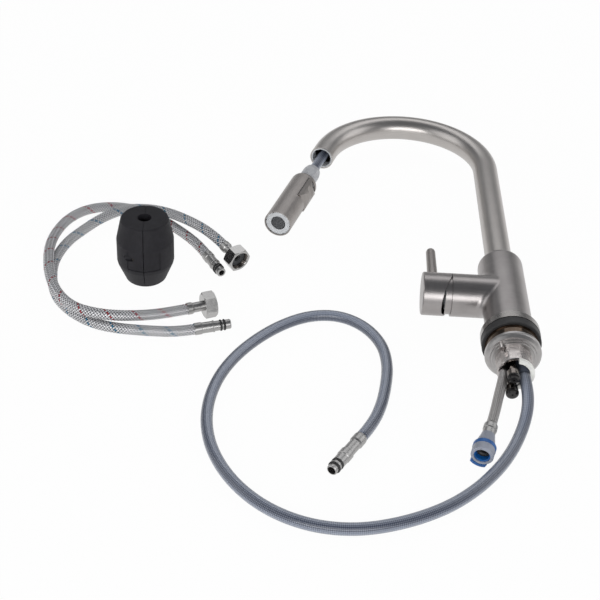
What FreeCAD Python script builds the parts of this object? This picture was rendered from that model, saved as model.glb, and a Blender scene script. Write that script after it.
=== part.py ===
import FreeCAD, Part
import math
import os
import Sketcher
from FreeCAD import Placement, Rotation, Vector

# Kitchen mixer tap with a pull-out spray, lying on a bench with its hoses and counterweight.
# Tap pieces are drawn upright: Z up from the sink deck, X towards the spout and the handle.

sizes = [
    # spout
    ("tubeRadius", 14.0),
    ("tubeWall", 1.3),
    ("bendRadius", 96.0),
    ("bendAngle", 163.5),
    ("bendHeight", 334.5),
    ("mouthStraight", 18.0),
    ("insertDepth", 30.0),
    ("mouthBore", 11.2),
    ("bushLength", 14.0),
    # body and its side branch
    ("bodyRadius", 23.45),
    ("bodyShoulder", 7.5),
    ("bodyWall", 2.6),
    ("topWallHeight", 34.0),
    ("branchHeight", 79.8),
    ("bodyAbove", 58.7),
    ("bodyTop", "=branchHeight + bodyAbove"),
    ("coreGap", 0.4),
    ("branchRadius", 22.1),
    ("branchReach", 54.8),
    ("branchFillet", 8.0),
    ("seatReach", 19.0),
    # deck seat and clamp
    ("baseRingRadius", 29.3),
    ("baseRingTop", 19.0),
    ("gasketThickness", 9.5),
    ("gasketRadius", 29.0),
    ("steelWasherRadius", 26.2),
    ("steelWasherThickness", 1.4),
    ("spacerRadius", 25.2),
    ("spacerThickness", 10.6),
    ("clampRadius", 27.4),
    ("clampThickness", 6.5),
    ("shankRadius", 17.3),
    ("shankBore", 14.9),
    ("shankLength", 41.0),
    ("shankGap", 0.3),
    ("jackOffset", 21.6),
    ("jackLean", 49.0),
    ("jackRadius", 2.4),
    ("jackLength", 14.5),
    # hose guide and inlet tails
    ("guideLip", 3.4),
    ("guideDepth", 12.0),
    ("guideCut", -1.0),
    ("guideBore", 13.3),
    ("hoseOffset", 7.6),
    ("hoseSlot", 6.5),
    ("tailOffset", 6.9),
    ("tailReach", 4.4),
    ("tailRadius", 4.0),
    ("tailEndRadius", 6.1),
    ("tailEndLength", 7.0),
    ("tailCap", 3.4),
    ("hotTailDrop", 61.0),
    ("coldTailDrop", 66.0),
    ("outletReach", 11.2),
    ("outletTailRadius", 3.6),
    ("lowSeal", 20.0),
    ("highSeal", 12.0),
    ("sealHeight", 3.0),
    ("sealDepth", 1.5),
    # handle
    ("sleeveRadius", 20.0),
    ("sleeveBore", 16.8),
    ("sleeveStep", 2.2),
    ("sleeveReach", "=branchReach + sleeveStep"),
    ("sleeveSlant", 6.4),
    ("capSlant", 22.4),
    ("capKnee", 2.2),
    ("capGap", 0.5),
    ("capDepth", 29.1),
    ("capRear", "=branchReach + capGap"),
    ("capReach", "=capRear + capDepth"),
    ("capDome", 1.2),
    ("capWall", 1.5),
    ("capHub", 6.5),
    ("pivotStep", 3.2),
    ("tiltPivot", "=branchReach + pivotStep"),
    ("cartridgeRadius", 17.5),
    ("cartridgeInset", 5.3),
    ("cartridgeReach", "=branchReach - cartridgeInset"),
    ("nutRadius", 18.9),
    ("stemWidth", 6.0),
    ("stemBall", 5.5),
    ("domeRise", 4.2),
    ("domeReach", "=tiltPivot + domeRise"),
    ("stemLength", 18.0),
    ("stemReach", "=tiltPivot + stemLength"),
    ("leverStep", 16.7),
    ("leverReach", "=capRear + leverStep"),
    ("leverLength", 57.4),
    ("leverRadius", 5.4),
    ("leverTip", 4.95),
    ("leverWaist", 4.9),
    # spray head, measured from its face along its own axis
    ("headDrawn", 34.5),
    ("headRoll", 16.0),
    ("headRadius", 15.3),
    ("headLength", 93.0),
    ("headWall", 1.1),
    ("headShoulder", 5.0),
    ("collarRadius", 10.8),
    ("collarTip", 9.2),
    ("collarLength", 28.0),
    ("faceInset", 0.8),
    ("faceDepth", 5.0),
    ("aeratorRadius", 8.2),
    ("buttonLow", 45.0),
    ("buttonHigh", 84.0),
    ("buttonWidth", 21.5),
    ("buttonGap", 0.5),
    ("buttonPivot", 63.0),
    ("buttonPin", 0.8),
    ("buttonPinDepth", 6.4),
    # hoses
    ("pullHoseRadius", 5.65),
    ("supplyHoseRadius", 5.6),
    ("outletHoseRadius", 4.9),
    ("ferruleRadius", 6.15),
    # hose ends
    ("nutFlats", 24.0),
    ("nutLength", 12.5),
    ("nutBore", 9.6),
    ("tailPinRadius", 4.9),
    ("plugTip", 5.0),
    ("plugBore", 3.9),
    ("plugGroove", 4.5),
    ("socketRadius", 10.4),
    ("socketBore", 7.6),
    # counterweight
    ("weightHeight", 73.0),
    ("weightRadius", 29.8),
    ("weightTop", 24.2),
    ("weightFoot", 21.4),
    ("weightLow", 23.7),
    ("weightHigh", 50.6),
    ("weightBore", 7.3),
    ("weightScrew", 38.5),
    ("weightTurn", 3.6),
    ("weightScrewOut", 24.4),
    ("weightAcross", 372.3),
    ("weightBack", 124.6),
    ("fitGap", 0.06),
]

doc = FreeCAD.newDocument("mixer_tap")
sheet = doc.addObject("Spreadsheet::Sheet", "Sizes")
for row, (alias, number) in enumerate(sizes, start=1):
    sheet.set("A%d" % row, alias)
    sheet.set("B%d" % row, str(number))
    sheet.setAlias("B%d" % row, alias)
doc.recompute()


def size(alias):
    return float(sheet.get(alias))


def bound(thing, prop, rule):
    thing.setExpression(prop, rule)


def worded(rule):
    """A rule in sheet words, with each word made a reference to its cell."""
    out, word = "", ""
    for letter in rule + " ":
        if letter.isalpha():
            word += letter
            continue
        out += "Sizes." + word if word in aliases else word
        word = ""
        out += letter
    return out.strip()


aliases = {alias for alias, number in sizes}


def outlineSketch(body, name, corners, role):
    """Closed outline whose corners are pairs of rules in sheet words."""
    sketch = body.newObject("Sketcher::SketchObject", name)
    plane = [f for f in body.Origin.OriginFeatures if f.Role == role][0]
    sketch.AttachmentSupport = [(plane, "")]
    sketch.MapMode = "FlatFace"
    values = [(evaluated(a), evaluated(b)) for a, b in corners]
    count = len(values)
    for i in range(count):
        a, b = values[i], values[(i + 1) % count]
        sketch.addGeometry(Part.LineSegment(Vector(a[0], a[1], 0), Vector(b[0], b[1], 0)), False)
    for i in range(count):
        sketch.addConstraint(Sketcher.Constraint("Coincident", i, 2, (i + 1) % count, 1))
    for i, (a, b) in enumerate(corners):
        for kind, rule, value in (("DistanceX", a, values[i][0]), ("DistanceY", b, values[i][1])):
            index = sketch.addConstraint(Sketcher.Constraint(kind, i, 1, value))
            if not isNumber(rule):
                bound(sketch, "Constraints[%d]" % index, worded(rule))
    return sketch


def isNumber(rule):
    return isinstance(rule, (int, float))


def evaluated(rule):
    if isNumber(rule):
        return float(rule)
    spare = sheet.evalExpression(worded(rule))
    return float(getattr(spare, "Value", spare))


def turned(name, corners):
    """Body turned about Z from a half outline of (radius, height) rules."""
    body = doc.addObject("PartDesign::Body", name)
    sketch = outlineSketch(body, name + "_outline", corners, "XZ_Plane")
    turn = body.newObject("PartDesign::Revolution", name + "_turn")
    turn.Profile = sketch
    turn.ReferenceAxis = (sketch, ["V_Axis"])
    turn.Angle = 360
    body.Tip = turn
    return body


def rounded(body, radiusRule, radiusAt, heightAt):
    """Fillet on the round edge of a turned body at a radius and a height."""
    doc.recompute()
    base = body.Tip
    wanted = []
    for number, edge in enumerate(base.Shape.Edges, start=1):
        curve = edge.Curve
        if not isinstance(curve, Part.Circle):
            continue
        if abs(curve.Radius - evaluated(radiusAt)) < 1e-4 and abs(curve.Center.z - evaluated(heightAt)) < 1e-4:
            wanted.append("Edge%d" % number)
    fillet = body.newObject("PartDesign::Fillet", body.Name + "_round%d" % len(body.Group))
    fillet.Base = (base, wanted)
    bound(fillet, "Radius", worded(radiusRule))
    body.Tip = fillet
    return body


def cylinder(name, radius, length, base=(0, 0, 0), axis=(0, 0, 1)):
    """Cylinder whose base point is given by rules."""
    piece = doc.addObject("Part::Cylinder", name)
    bound(piece, "Radius", worded(radius))
    bound(piece, "Height", worded(length))
    turn = Rotation(Vector(0, 0, 1), Vector(*axis))
    piece.Placement = Placement(Vector(*[evaluated(b) for b in base]), turn)
    for letter, rule in zip("xyz", base):
        if not isNumber(rule):
            bound(piece, "Placement.Base." + letter, worded(rule))
    return piece


def block(name, length, width, height, base):
    piece = doc.addObject("Part::Box", name)
    for prop, rule in (("Length", length), ("Width", width), ("Height", height)):
        bound(piece, prop, worded(rule))
    for letter, rule in zip("xyz", base):
        if not isNumber(rule):
            bound(piece, "Placement.Base." + letter, worded(rule))
        else:
            setattr(piece.Placement.Base, letter, rule)
    return piece


def ball(name, radius, height):
    piece = doc.addObject("Part::Sphere", name)
    bound(piece, "Radius", worded(radius))
    bound(piece, "Placement.Base.z", worded(height))
    return piece


def cut(name, base, *tools):
    for number, tool in enumerate(tools, start=1):
        piece = doc.addObject("Part::Cut", name if number == len(tools) else "%s_cut%d" % (name, number))
        piece.Base = base
        piece.Tool = tool
        base = piece
    return base


def fuse(name, *pieces):
    piece = doc.addObject("Part::MultiFuse", name)
    piece.Shapes = list(pieces)
    piece.Refine = True
    return piece


def common(name, first, second):
    piece = doc.addObject("Part::Common", name)
    piece.Base = first
    piece.Tool = second
    return piece


nodes = {}


def seat(name, piece, place):
    """Names a finished piece and puts it in its place."""
    piece.Label = name
    piece.Placement = place.multiply(piece.Placement)
    nodes[name] = piece


# Places. The tap lies on its base ring; the counterweight and the tap share the middle of the row.
tapX = (size("weightAcross") + size("weightRadius") - size("baseRingRadius")) / 2
tapZ = size("baseRingRadius")
spoutTop = size("bendHeight") + size("bendRadius") + size("tubeRadius")
deckY = -(spoutTop - size("coldTailDrop")) / 2
layDown = Rotation(Vector(-1, 0, 0), Vector(0, 0, 1), Vector(0, 1, 0), "ZXY")
tapPlace = Placement(Vector(tapX, deckY, tapZ), layDown)
upright = Placement()


def onTap(x, y, z):
    return tapPlace.multVec(Vector(x, y, z))


# Axis of the spout's mouth and of the spray head, drawn from the face back towards the spout.
sweep = math.radians(size("bendAngle"))
mouthSlope = math.pi - sweep
bendEnd = Vector(size("bendRadius") * (1 - math.cos(sweep)), 0, size("bendHeight") + size("bendRadius") * math.sin(sweep))
outward = Vector(math.sin(mouthSlope), 0, -math.cos(mouthSlope))
mouth = bendEnd + outward * size("mouthStraight")
face = mouth + outward * (size("headDrawn") + size("headLength") + size("collarLength"))
headTurn = Rotation(Vector(0, 1, 0), -math.degrees(mouthSlope))
headPlace = tapPlace.multiply(Placement(face, headTurn.multiply(Rotation(Vector(0, 0, 1), -size("headRoll")))))
branchTurn = Rotation(Vector(0, 1, 0), 90)
branchPlace = tapPlace.multiply(Placement(Vector(0, 0, size("branchHeight")), branchTurn))

# ---- body ----


def makeBody():
    shell = turned("body_outer", [
        (0, "gasketThickness"), ("bodyRadius", "gasketThickness"), ("bodyRadius", "bodyTop"), (0, "bodyTop")])
    rounded(shell, "bodyShoulder", "bodyRadius", "bodyTop")
    branch = cylinder("branch_outer", "branchRadius", "branchReach", (0, 0, "branchHeight"), (1, 0, 0))
    solid = fuse("body_solid", shell, branch)
    doc.recompute()
    seams = []
    for number, edge in enumerate(solid.Shape.Edges, start=1):
        if not isinstance(edge.Curve, (Part.Circle, Part.Line)):
            seams.append((number, size("branchFillet"), size("branchFillet")))
    blend = doc.addObject("Part::Fillet", "body_blended")
    blend.Base = solid
    blend.Edges = seams
    doc.recompute()
    if blend.Shape.isNull() or not blend.Shape.isValid() or blend.Shape.Volume < solid.Shape.Volume:
        print("the branch fillet did not form")
        base = solid
    else:
        base = blend
    groove = "tubeRadius + sealDepth + fitGap"
    cavity = turned("body_cavity", [
        (0, "gasketThickness - 1"), ("shankRadius + fitGap", "gasketThickness - 1"),
        ("shankRadius + fitGap", "baseRingTop"), ("bodyRadius - bodyWall", "baseRingTop"),
        ("bodyRadius - bodyWall", "bodyTop - topWallHeight"), ("tubeRadius + fitGap", "bodyTop - topWallHeight"),
        ("tubeRadius + fitGap", "bodyTop - lowSeal"), (groove, "bodyTop - lowSeal"),
        (groove, "bodyTop - lowSeal + sealHeight"), ("tubeRadius + fitGap", "bodyTop - lowSeal + sealHeight"),
        ("tubeRadius + fitGap", "bodyTop - highSeal"), (groove, "bodyTop - highSeal"),
        (groove, "bodyTop - highSeal + sealHeight"), ("tubeRadius + fitGap", "bodyTop - highSeal + sealHeight"),
        ("tubeRadius + fitGap", "bodyTop + 1"), (0, "bodyTop + 1")])
    bore = cylinder("branch_bore", "cartridgeRadius + fitGap", "branchReach", (1, 0, "branchHeight"), (1, 0, 0))
    mouthBore = cylinder("branch_thread", "nutRadius + fitGap", "10", ("branchReach - 6", 0, "branchHeight"), (1, 0, 0))
    seat("body_shell", cut("body_shell", base, cavity, bore, mouthBore), tapPlace)


def makeDeckSeat():
    ring = turned("base_ring", [
        ("bodyRadius + fitGap", "gasketThickness"), ("baseRingRadius", "gasketThickness"),
        ("baseRingRadius", "baseRingTop - 1.2"), ("baseRingRadius - 1.2", "baseRingTop"),
        ("bodyRadius + fitGap", "baseRingTop")])
    seat("base_ring", ring, tapPlace)
    gasket = turned("base_gasket", [
        ("shankRadius + shankGap", 0), ("gasketRadius - 0.8", 0), ("gasketRadius", 0.8),
        ("gasketRadius", "gasketThickness - 0.8"), ("gasketRadius - 0.8", "gasketThickness"),
        ("shankRadius + shankGap", "gasketThickness")])
    seat("base_gasket", gasket, tapPlace)
    washer = turned("steel_washer", [
        ("shankRadius + shankGap", "-steelWasherThickness"), ("steelWasherRadius", "-steelWasherThickness"),
        ("steelWasherRadius", 0), ("shankRadius + shankGap", 0)])
    seat("steel_washer", washer, tapPlace)
    spacer = turned("spacer_ring", [
        ("shankRadius + shankGap", "-steelWasherThickness - spacerThickness"),
        ("spacerRadius", "-steelWasherThickness - spacerThickness"),
        ("spacerRadius", "-steelWasherThickness - spacerThickness + 4"),
        ("spacerRadius - 0.7", "-steelWasherThickness - spacerThickness + 5"),
        ("spacerRadius", "-steelWasherThickness - 1.5"), ("spacerRadius", "-steelWasherThickness"),
        ("shankRadius + shankGap", "-steelWasherThickness")])
    seat("spacer_ring", spacer, tapPlace)
    top = "-steelWasherThickness - spacerThickness"
    clamp = turned("clamp_blank", [
        ("shankRadius + fitGap", top + " - clampThickness - 1.6"), ("shankRadius + 2.2", top + " - clampThickness - 1.6"),
        ("shankRadius + 2.6", top + " - clampThickness - 0.9"), ("shankRadius + 4.8", top + " - clampThickness - 0.9"),
        ("shankRadius + 5.2", top + " - clampThickness"), ("clampRadius - 2.6", top + " - clampThickness"),
        ("clampRadius - 0.4", top + " - clampThickness + 2.4"), ("clampRadius", top + " - 2.6"),
        ("clampRadius", top), ("shankRadius + fitGap", top)])
    holes = [jackHole("clamp_hole%d" % side, side) for side in (1, -1)]
    seat("clamp_nut", cut("clamp_nut", clamp, *holes), tapPlace)
    screws = [jackScrew("jack%d" % side, side) for side in (1, -1)]
    seat("jack_screws", fuse("jack_screws", *screws), tapPlace)


def jackSpot(side):
    # the two screws sit opposite each other across the shank
    lean = math.radians(size("jackLean"))
    return ["%d * jackOffset * %.4f" % (side, math.cos(lean)), "%d * jackOffset * %.4f" % (side, math.sin(lean))]


def jackHole(name, side):
    return cylinder(name, "jackRadius + fitGap", "clampThickness + 20",
                    jackSpot(side) + ["-steelWasherThickness - spacerThickness - clampThickness - 10"])


def jackScrew(name, side):
    foot = "-steelWasherThickness - spacerThickness - fitGap - jackLength"
    rod = cylinder(name + "_rod", "jackRadius", "jackLength", jackSpot(side) + [foot])
    slot = block(name + "_slot", "jackRadius * 3", "0.9", "1.4",
                 [jackSpot(side)[0] + " - jackRadius * 1.5", jackSpot(side)[1] + " - 0.45", foot + " - 0.2"])
    return cut(name, rod, slot)


def makeShank():
    shank = turned("threaded_shank", [
        ("shankBore", "-shankLength"), ("shankRadius - 0.7", "-shankLength"), ("shankRadius", "-shankLength + 0.8"),
        ("shankRadius", "gasketThickness + 8"), ("shankBore", "gasketThickness + 8")])
    seat("threaded_shank", shank, tapPlace)
    whole = turned("guide_whole", [
        ("guideBore", "-shankLength - guideLip"), ("shankRadius + 0.5", "-shankLength - guideLip"),
        ("shankRadius + 0.5", "-shankLength"), ("shankBore - fitGap", "-shankLength"),
        ("shankBore - fitGap", "guideDepth - shankLength"), ("guideBore", "guideDepth - shankLength")])
    side = block("guide_side", "shankRadius * 2", "shankRadius * 4", "guideDepth + guideLip + 10",
                 ["guideCut", "-shankRadius * 2", "-shankLength - guideLip - 4"])
    seat("hose_guide", cut("hose_guide", whole, side), tapPlace)


def makeCore():
    blank = cylinder("core_blank", "bodyRadius - bodyWall - fitGap",
                     "bodyTop - insertDepth - 6 - coreGap - (branchHeight - 31)", (0, 0, "branchHeight - 31"))
    pocket = cylinder("core_pocket", "cartridgeRadius + fitGap", "40", ("seatReach", 0, "branchHeight"), (1, 0, 0))
    channel = cylinder("core_channel", "hoseSlot + 0.3", "80", ("-hoseOffset", 0, "branchHeight - 40"))
    flare = cylinder("core_flare", "tubeRadius - 2.6", "30", (0, 0, "branchHeight + 14"))
    hot = cylinder("core_hot", "tailRadius + fitGap", "18", ("tailReach", "tailOffset", "branchHeight - 32"))
    cold = cylinder("core_cold", "tailRadius + fitGap", "18", ("tailReach", "-tailOffset", "branchHeight - 32"))
    hotWay = cylinder("core_hot_way", "3", "20", ("tailReach", "tailOffset", "branchHeight - 15"))
    coldWay = cylinder("core_cold_way", "3", "20", ("tailReach", "-tailOffset", "branchHeight - 15"))
    hotPort = cylinder("core_hot_port", "3", "18", ("tailReach", "tailOffset", "branchHeight + 1"), (1, 0, 0))
    coldPort = cylinder("core_cold_port", "3", "18", ("tailReach", "-tailOffset", "branchHeight + 1"), (1, 0, 0))
    outlet = cylinder("core_outlet", "outletTailRadius + fitGap", "18", ("outletReach", 0.8, "branchHeight - 32"))
    core = cut("valve_core", blank, pocket, channel, flare, hot, cold, hotWay, coldWay, hotPort, coldPort, outlet)
    seat("valve_core", core, tapPlace)


def makeTails():
    outlet = turned("outlet_tail", [
        (2.6, "-shankLength - 3"), ("outletTailRadius", "-shankLength - 3"), ("outletTailRadius", "branchHeight - 15"),
        (2.6, "branchHeight - 15")])
    seat("outlet_tail", outlet, tapPlace.multiply(Placement(Vector(size("outletReach"), 0.8, 0), Rotation())))
    for name, side, drop in (("hot", 1, "hotTailDrop"), ("cold", -1, "coldTailDrop")):
        end = "tailCap - %s" % drop
        pipe = turned("inlet_tail_" + name, [
            (3, end), ("tailEndRadius - 0.7", end), ("tailEndRadius", end + " + 0.8"),
            ("tailEndRadius", end + " + tailEndLength"), ("tailRadius", end + " + tailEndLength + 2"),
            ("tailRadius", "branchHeight - 15"), (3, "branchHeight - 15")])
        spot = Vector(size("tailReach"), side * size("tailOffset"), 0)
        seat("inlet_tail_" + name, pipe, tapPlace.multiply(Placement(spot, Rotation())))
        seal = turned("inlet_cap_" + name, [
            (0.8, "-%s" % drop), ("tailEndRadius - 2.8", "-%s" % drop), ("tailEndRadius - 1.1", "-%s + 0.6" % drop),
            ("tailEndRadius - 0.1", "-%s + 1.6" % drop), ("tailEndRadius + 0.2", "-%s + 2.8" % drop),
            ("tailEndRadius + 0.2", end), (2.94, end),
            (2.94, end + " + 4"), (0.8, end + " + 4")])
        seat("inlet_cap_" + name, seal, tapPlace.multiply(Placement(spot, Rotation())))


# ---- handle, drawn along the branch: Z outwards from the tap's axis, X down, lever to -X ----


def makeCartridge():
    shell = turned("cartridge_body", [
        (0, "seatReach + fitGap"), ("cartridgeRadius - 0.6", "seatReach + fitGap"), ("cartridgeRadius", "seatReach + 1"),
        ("cartridgeRadius", "cartridgeReach"), (13.5, "cartridgeReach"), (13.5, "cartridgeReach - 6"),
        (0, "cartridgeReach - 6")])
    seat("cartridge_body", shell, branchPlace)
    nut = turned("cartridge_nut", [
        (15.2, "cartridgeReach + 0.1"), ("nutRadius", "cartridgeReach + 0.1"), ("nutRadius", "branchReach - 0.2"),
        ("nutRadius - 3.4", "branchReach - 0.2")])
    seat("cartridge_nut", nut, branchPlace)
    dome = turned("dome_blank", [
        (0, "cartridgeReach - 5.9"), (13.3, "cartridgeReach - 5.9"), (13.3, "cartridgeReach - 1"), (12, "cartridgeReach"),
        (13, "branchReach"), (13, "branchReach + 0.15"), ("sleeveBore - fitGap", "branchReach + 0.15"),
        ("sleeveBore - fitGap", "domeReach - 3.4"), ("sleeveBore - 1.6", "domeReach - 1.2"),
        ("sleeveBore - 4.5", "domeReach"), ("stemBall + 2.4", "domeReach"), ("stemBall", "tiltPivot"), (0, "tiltPivot")])
    seatBall = ball("dome_seat", "stemBall + fitGap", "tiltPivot")
    seat("cartridge_dome", cut("cartridge_dome", dome, seatBall), branchPlace)


def makeSleeve():
    # the sleeve's outer end is cut on the handle's slant, so that the cap can tilt over it
    ring = turned("sleeve_blank", [
        ("sleeveBore", "branchReach + 0.15"), ("sleeveRadius", "branchReach + 0.15"),
        ("sleeveRadius", "sleeveReach + 9"), ("sleeveBore", "sleeveReach + 9")])
    wedge = slantWedge("sleeve_wedge", "sleeveReach", "sleeveRadius", "sleeveSlant")
    seat("handle_sleeve", cut("handle_sleeve", ring, wedge), branchPlace)


def slantWedge(name, reach, knee, slant):
    """Space beyond a square edge that leans outwards past its knee; X is down, towards the base."""
    body = doc.addObject("PartDesign::Body", name)
    far = "%s + (30 + %s) * tan(%s * 1 deg)" % (reach, knee, slant)
    beyond = reach + " + 95"
    corners = [(-40, reach), ("-" + knee, reach), (30, far), (30, beyond), (-40, beyond)]
    sketch = outlineSketch(body, name + "_outline", corners, "XZ_Plane")
    pad = body.newObject("PartDesign::Pad", name + "_pad")
    pad.Profile = sketch
    pad.Length = 100
    pad.Midplane = True
    body.Tip = pad
    return body


def makeHandle():
    solid = turned("cap_outer", [
        (0, "capRear"), ("branchRadius", "capRear"), ("branchRadius", "capReach - 1"),
        ("branchRadius - 1", "capReach"), (0, "capReach + capDome")])
    hollow = turned("cap_inner", [
        (0, "capRear - 1"), ("branchRadius - capWall", "capRear - 1"), ("branchRadius - capWall", "capReach - 3.2"),
        ("capHub", "capReach - 3.2"), ("capHub", "tiltPivot + 10"), (0, "tiltPivot + 10")])
    keep = slantWedge("cap_wedge", "capRear", "capKnee", "capSlant")
    trimmed = common("cap_trimmed", solid, keep)
    socket = block("cap_socket", "stemWidth + 2 * fitGap", "stemWidth + 2 * fitGap", "stemReach - tiltPivot",
                   ["-stemWidth / 2 - fitGap", "-stemWidth / 2 - fitGap", "tiltPivot + 0.2"])
    leverHole = cylinder("cap_lever_hole", "2.9 + fitGap", "branchRadius", ("-stemWidth / 2 + 1", 0, "leverReach"), (-1, 0, 0))
    cap = cut("handle_cap", trimmed, hollow, socket, leverHole)
    seat("handle_cap", cap, branchPlace)
    stud = "stemWidth / 2 + fitGap - branchRadius"
    lever = turned("lever_pin", [
        (0, stud), (2.9, stud), (2.9, 0.3), ("leverWaist", 0.3), ("leverWaist", 2.5),
        ("leverRadius", 13), ("leverTip", "leverLength - 4"), ("leverTip - 0.5", "leverLength - 2"),
        ("leverTip - 1.6", "leverLength - 0.5"), ("leverTip - 3", "leverLength"), (0, "leverLength")])
    leverSpot = Vector(size("leverReach"), 0, size("branchHeight") + size("branchRadius"))
    seat("lever_pin", lever, tapPlace.multiply(Placement(leverSpot, Rotation())))
    stem = block("stem_bar", "stemWidth", "stemWidth", "stemReach - tiltPivot", ["-stemWidth / 2", "-stemWidth / 2", "tiltPivot"])
    knob = ball("stem_ball", "stemBall", "tiltPivot")
    seat("cartridge_stem", fuse("cartridge_stem", stem, knob), branchPlace)


# ---- spout ----


def spine(sketch, low, straight):
    """Riser, bend and mouth straight as one tangent path in the XZ plane."""
    doc.recompute()
    centre = Vector(size("bendRadius"), size("bendHeight"), 0)
    sketch.addGeometry(Part.LineSegment(Vector(0, low, 0), Vector(0, size("bendHeight"), 0)), False)
    arc = Part.ArcOfCircle(Part.Circle(centre, Vector(0, 0, 1), size("bendRadius")), math.pi - sweep, math.pi)
    sketch.addGeometry(arc, False)
    end = Vector(bendEnd.x, bendEnd.z, 0)
    tip = end + Vector(outward.x, outward.z, 0) * straight
    sketch.addGeometry(Part.LineSegment(end, tip), False)


def makeSpout():
    low = size("bodyTop") - size("insertDepth")
    body = doc.addObject("PartDesign::Body", "spout_tube")
    rings = body.newObject("Sketcher::SketchObject", "spout_section")
    plane = [f for f in body.Origin.OriginFeatures if f.Role == "XY_Plane"][0]
    rings.AttachmentSupport = [(plane, "")]
    rings.MapMode = "FlatFace"
    rings.AttachmentOffset = Placement(Vector(0, 0, low), Rotation())
    for radius, rule in ((size("tubeRadius"), "tubeRadius"), (size("tubeRadius") - size("tubeWall"), "tubeRadius - tubeWall")):
        number = rings.addGeometry(Part.Circle(Vector(0, 0, 0), Vector(0, 0, 1), radius), False)
        rings.addConstraint(Sketcher.Constraint("Coincident", number, 3, -1, 1))
        index = rings.addConstraint(Sketcher.Constraint("Radius", number, radius))
        bound(rings, "Constraints[%d]" % index, worded(rule))
    path = body.newObject("Sketcher::SketchObject", "spout_path")
    side = [f for f in body.Origin.OriginFeatures if f.Role == "XZ_Plane"][0]
    path.AttachmentSupport = [(side, "")]
    path.MapMode = "FlatFace"
    spine(path, low, size("mouthStraight"))
    doc.recompute()
    pipe = body.newObject("PartDesign::AdditivePipe", "spout_pipe")
    pipe.Profile = rings
    pipe.Spine = path
    body.Tip = pipe
    seat("spout_tube", body, tapPlace)
    foot = "bodyTop - insertDepth"
    collar = turned("spout_collar", [
        ("tubeRadius - 3.4", foot + " - 6"), ("tubeRadius + 2.2", foot + " - 6"), ("tubeRadius + 2.2", foot + " - 4.5"),
        ("tubeRadius", foot + " - 4.5"), ("tubeRadius", foot), ("tubeRadius - tubeWall - fitGap", foot),
        ("tubeRadius - tubeWall - fitGap", foot + " + 12"), ("tubeRadius - 3.4", foot + " + 12")])
    seat("spout_collar", collar, tapPlace)


def makeMouthBush():
    # plastic bush that centres the spray head's collar in the spout's mouth
    bush = turned("mouth_bush", [
        ("mouthBore", 0.4), ("tubeRadius - tubeWall - fitGap", 0.4), ("tubeRadius - tubeWall - fitGap", "bushLength"),
        ("tubeRadius - tubeWall - 0.7", "bushLength"), ("mouthBore", "bushLength - 3")])
    seat("mouth_bush", bush, tapPlace.multiply(Placement(mouth, headTurn)))


def makeSwivelSeals():
    for name, drop in (("low", "lowSeal"), ("high", "highSeal")):
        foot, top = "bodyTop - %s" % drop, "bodyTop - %s + sealHeight" % drop
        ring = turned("glide_ring_" + name, [
            ("tubeRadius + fitGap", foot), ("tubeRadius + sealDepth", foot), ("tubeRadius + sealDepth", top),
            ("tubeRadius + fitGap", top)])
        seat("glide_ring_" + name, ring, tapPlace)


# ---- spray head, drawn with Z from its face back towards the spout; X points away from the tap ----


def makeHead():
    outer = turned("head_outer", [
        (0, 0), ("headRadius", 0), ("headRadius", "headLength"), (0, "headLength")])
    rounded(outer, "headShoulder", "headRadius", "headLength")
    inner = turned("head_inner", [
        (0, -1), ("headRadius - headWall", -1), ("headRadius - headWall", "headLength - headShoulder"),
        ("collarRadius + 0.1", "headLength - headWall"), ("collarRadius + 0.1", "headLength + 1"), (0, "headLength + 1")])
    window = buttonBlock("head_window", "buttonLow - buttonGap", "buttonHigh + buttonGap", "buttonWidth / 2 + buttonGap", "6.5")
    seat("head_shell", cut("head_shell", outer, inner, window), headPlace)
    coreBlank = turned("core_outer", [
        (0, "faceDepth + 0.1"), ("headRadius - headWall - 0.1", "faceDepth + 0.1"),
        ("headRadius - headWall - 0.1", "headLength - headShoulder - 2"), ("collarRadius", "headLength - 4"),
        ("collarRadius", "headLength + 5"), ("collarRadius - 0.6", "headLength + 6"),
        ("collarRadius - 0.6", "headLength + collarLength - 6"), ("collarTip", "headLength + collarLength"),
        ("pullHoseRadius + 0.3", "headLength + collarLength"), ("pullHoseRadius + 0.3", "headLength + 4"),
        (0, "headLength + 4")])
    pocket = buttonBlock("core_pocket_cut", "buttonLow - 1.2", "buttonHigh + 1.2", "buttonWidth / 2 + 1.2", "9")
    flat = block("collar_flat", "10", "40", "collarLength", ["-collarRadius - 8.4", "-20", "headLength + 8"])
    seat("head_core", cut("head_core", coreBlank, pocket, flat), headPlace)
    ring = turned("face_ring", [
        ("aeratorRadius + 0.1", "faceInset + 0.6"), ("headRadius - headWall - 1.2", "faceInset"),
        ("headRadius - headWall - 0.1", "faceInset + 0.6"), ("headRadius - headWall - 0.1", "faceDepth"),
        ("aeratorRadius + 0.1", "faceDepth")])
    notches = []
    for number in range(6):
        lean = math.radians(60 * number + 20)
        spot = ["(headRadius - headWall - 0.4) * %.4f" % math.cos(lean), "(headRadius - headWall - 0.4) * %.4f" % math.sin(lean), 0]
        notches.append(cylinder("face_notch_%d" % number, "1.0", "3", spot))
    seat("face_ring", cut("face_ring", ring, *notches), headPlace)
    aerator = turned("aerator", [
        (0, "faceInset + 1.6"), ("aeratorRadius - 0.6", "faceInset + 1.6"), ("aeratorRadius", "faceInset + 1.2"),
        ("aeratorRadius", "faceDepth"), (0, "faceDepth")])
    seat("aerator", aerator, headPlace)


def buttonBlock(name, low, high, half, depth):
    """Slab on the side of the head that faces the tap, which is towards -X."""
    return block(name, "headRadius", "2 * (%s)" % half, "(%s) - (%s)" % (high, low),
                 ["-headRadius * 2 + (%s)" % depth, "-(%s)" % half, low])


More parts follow.
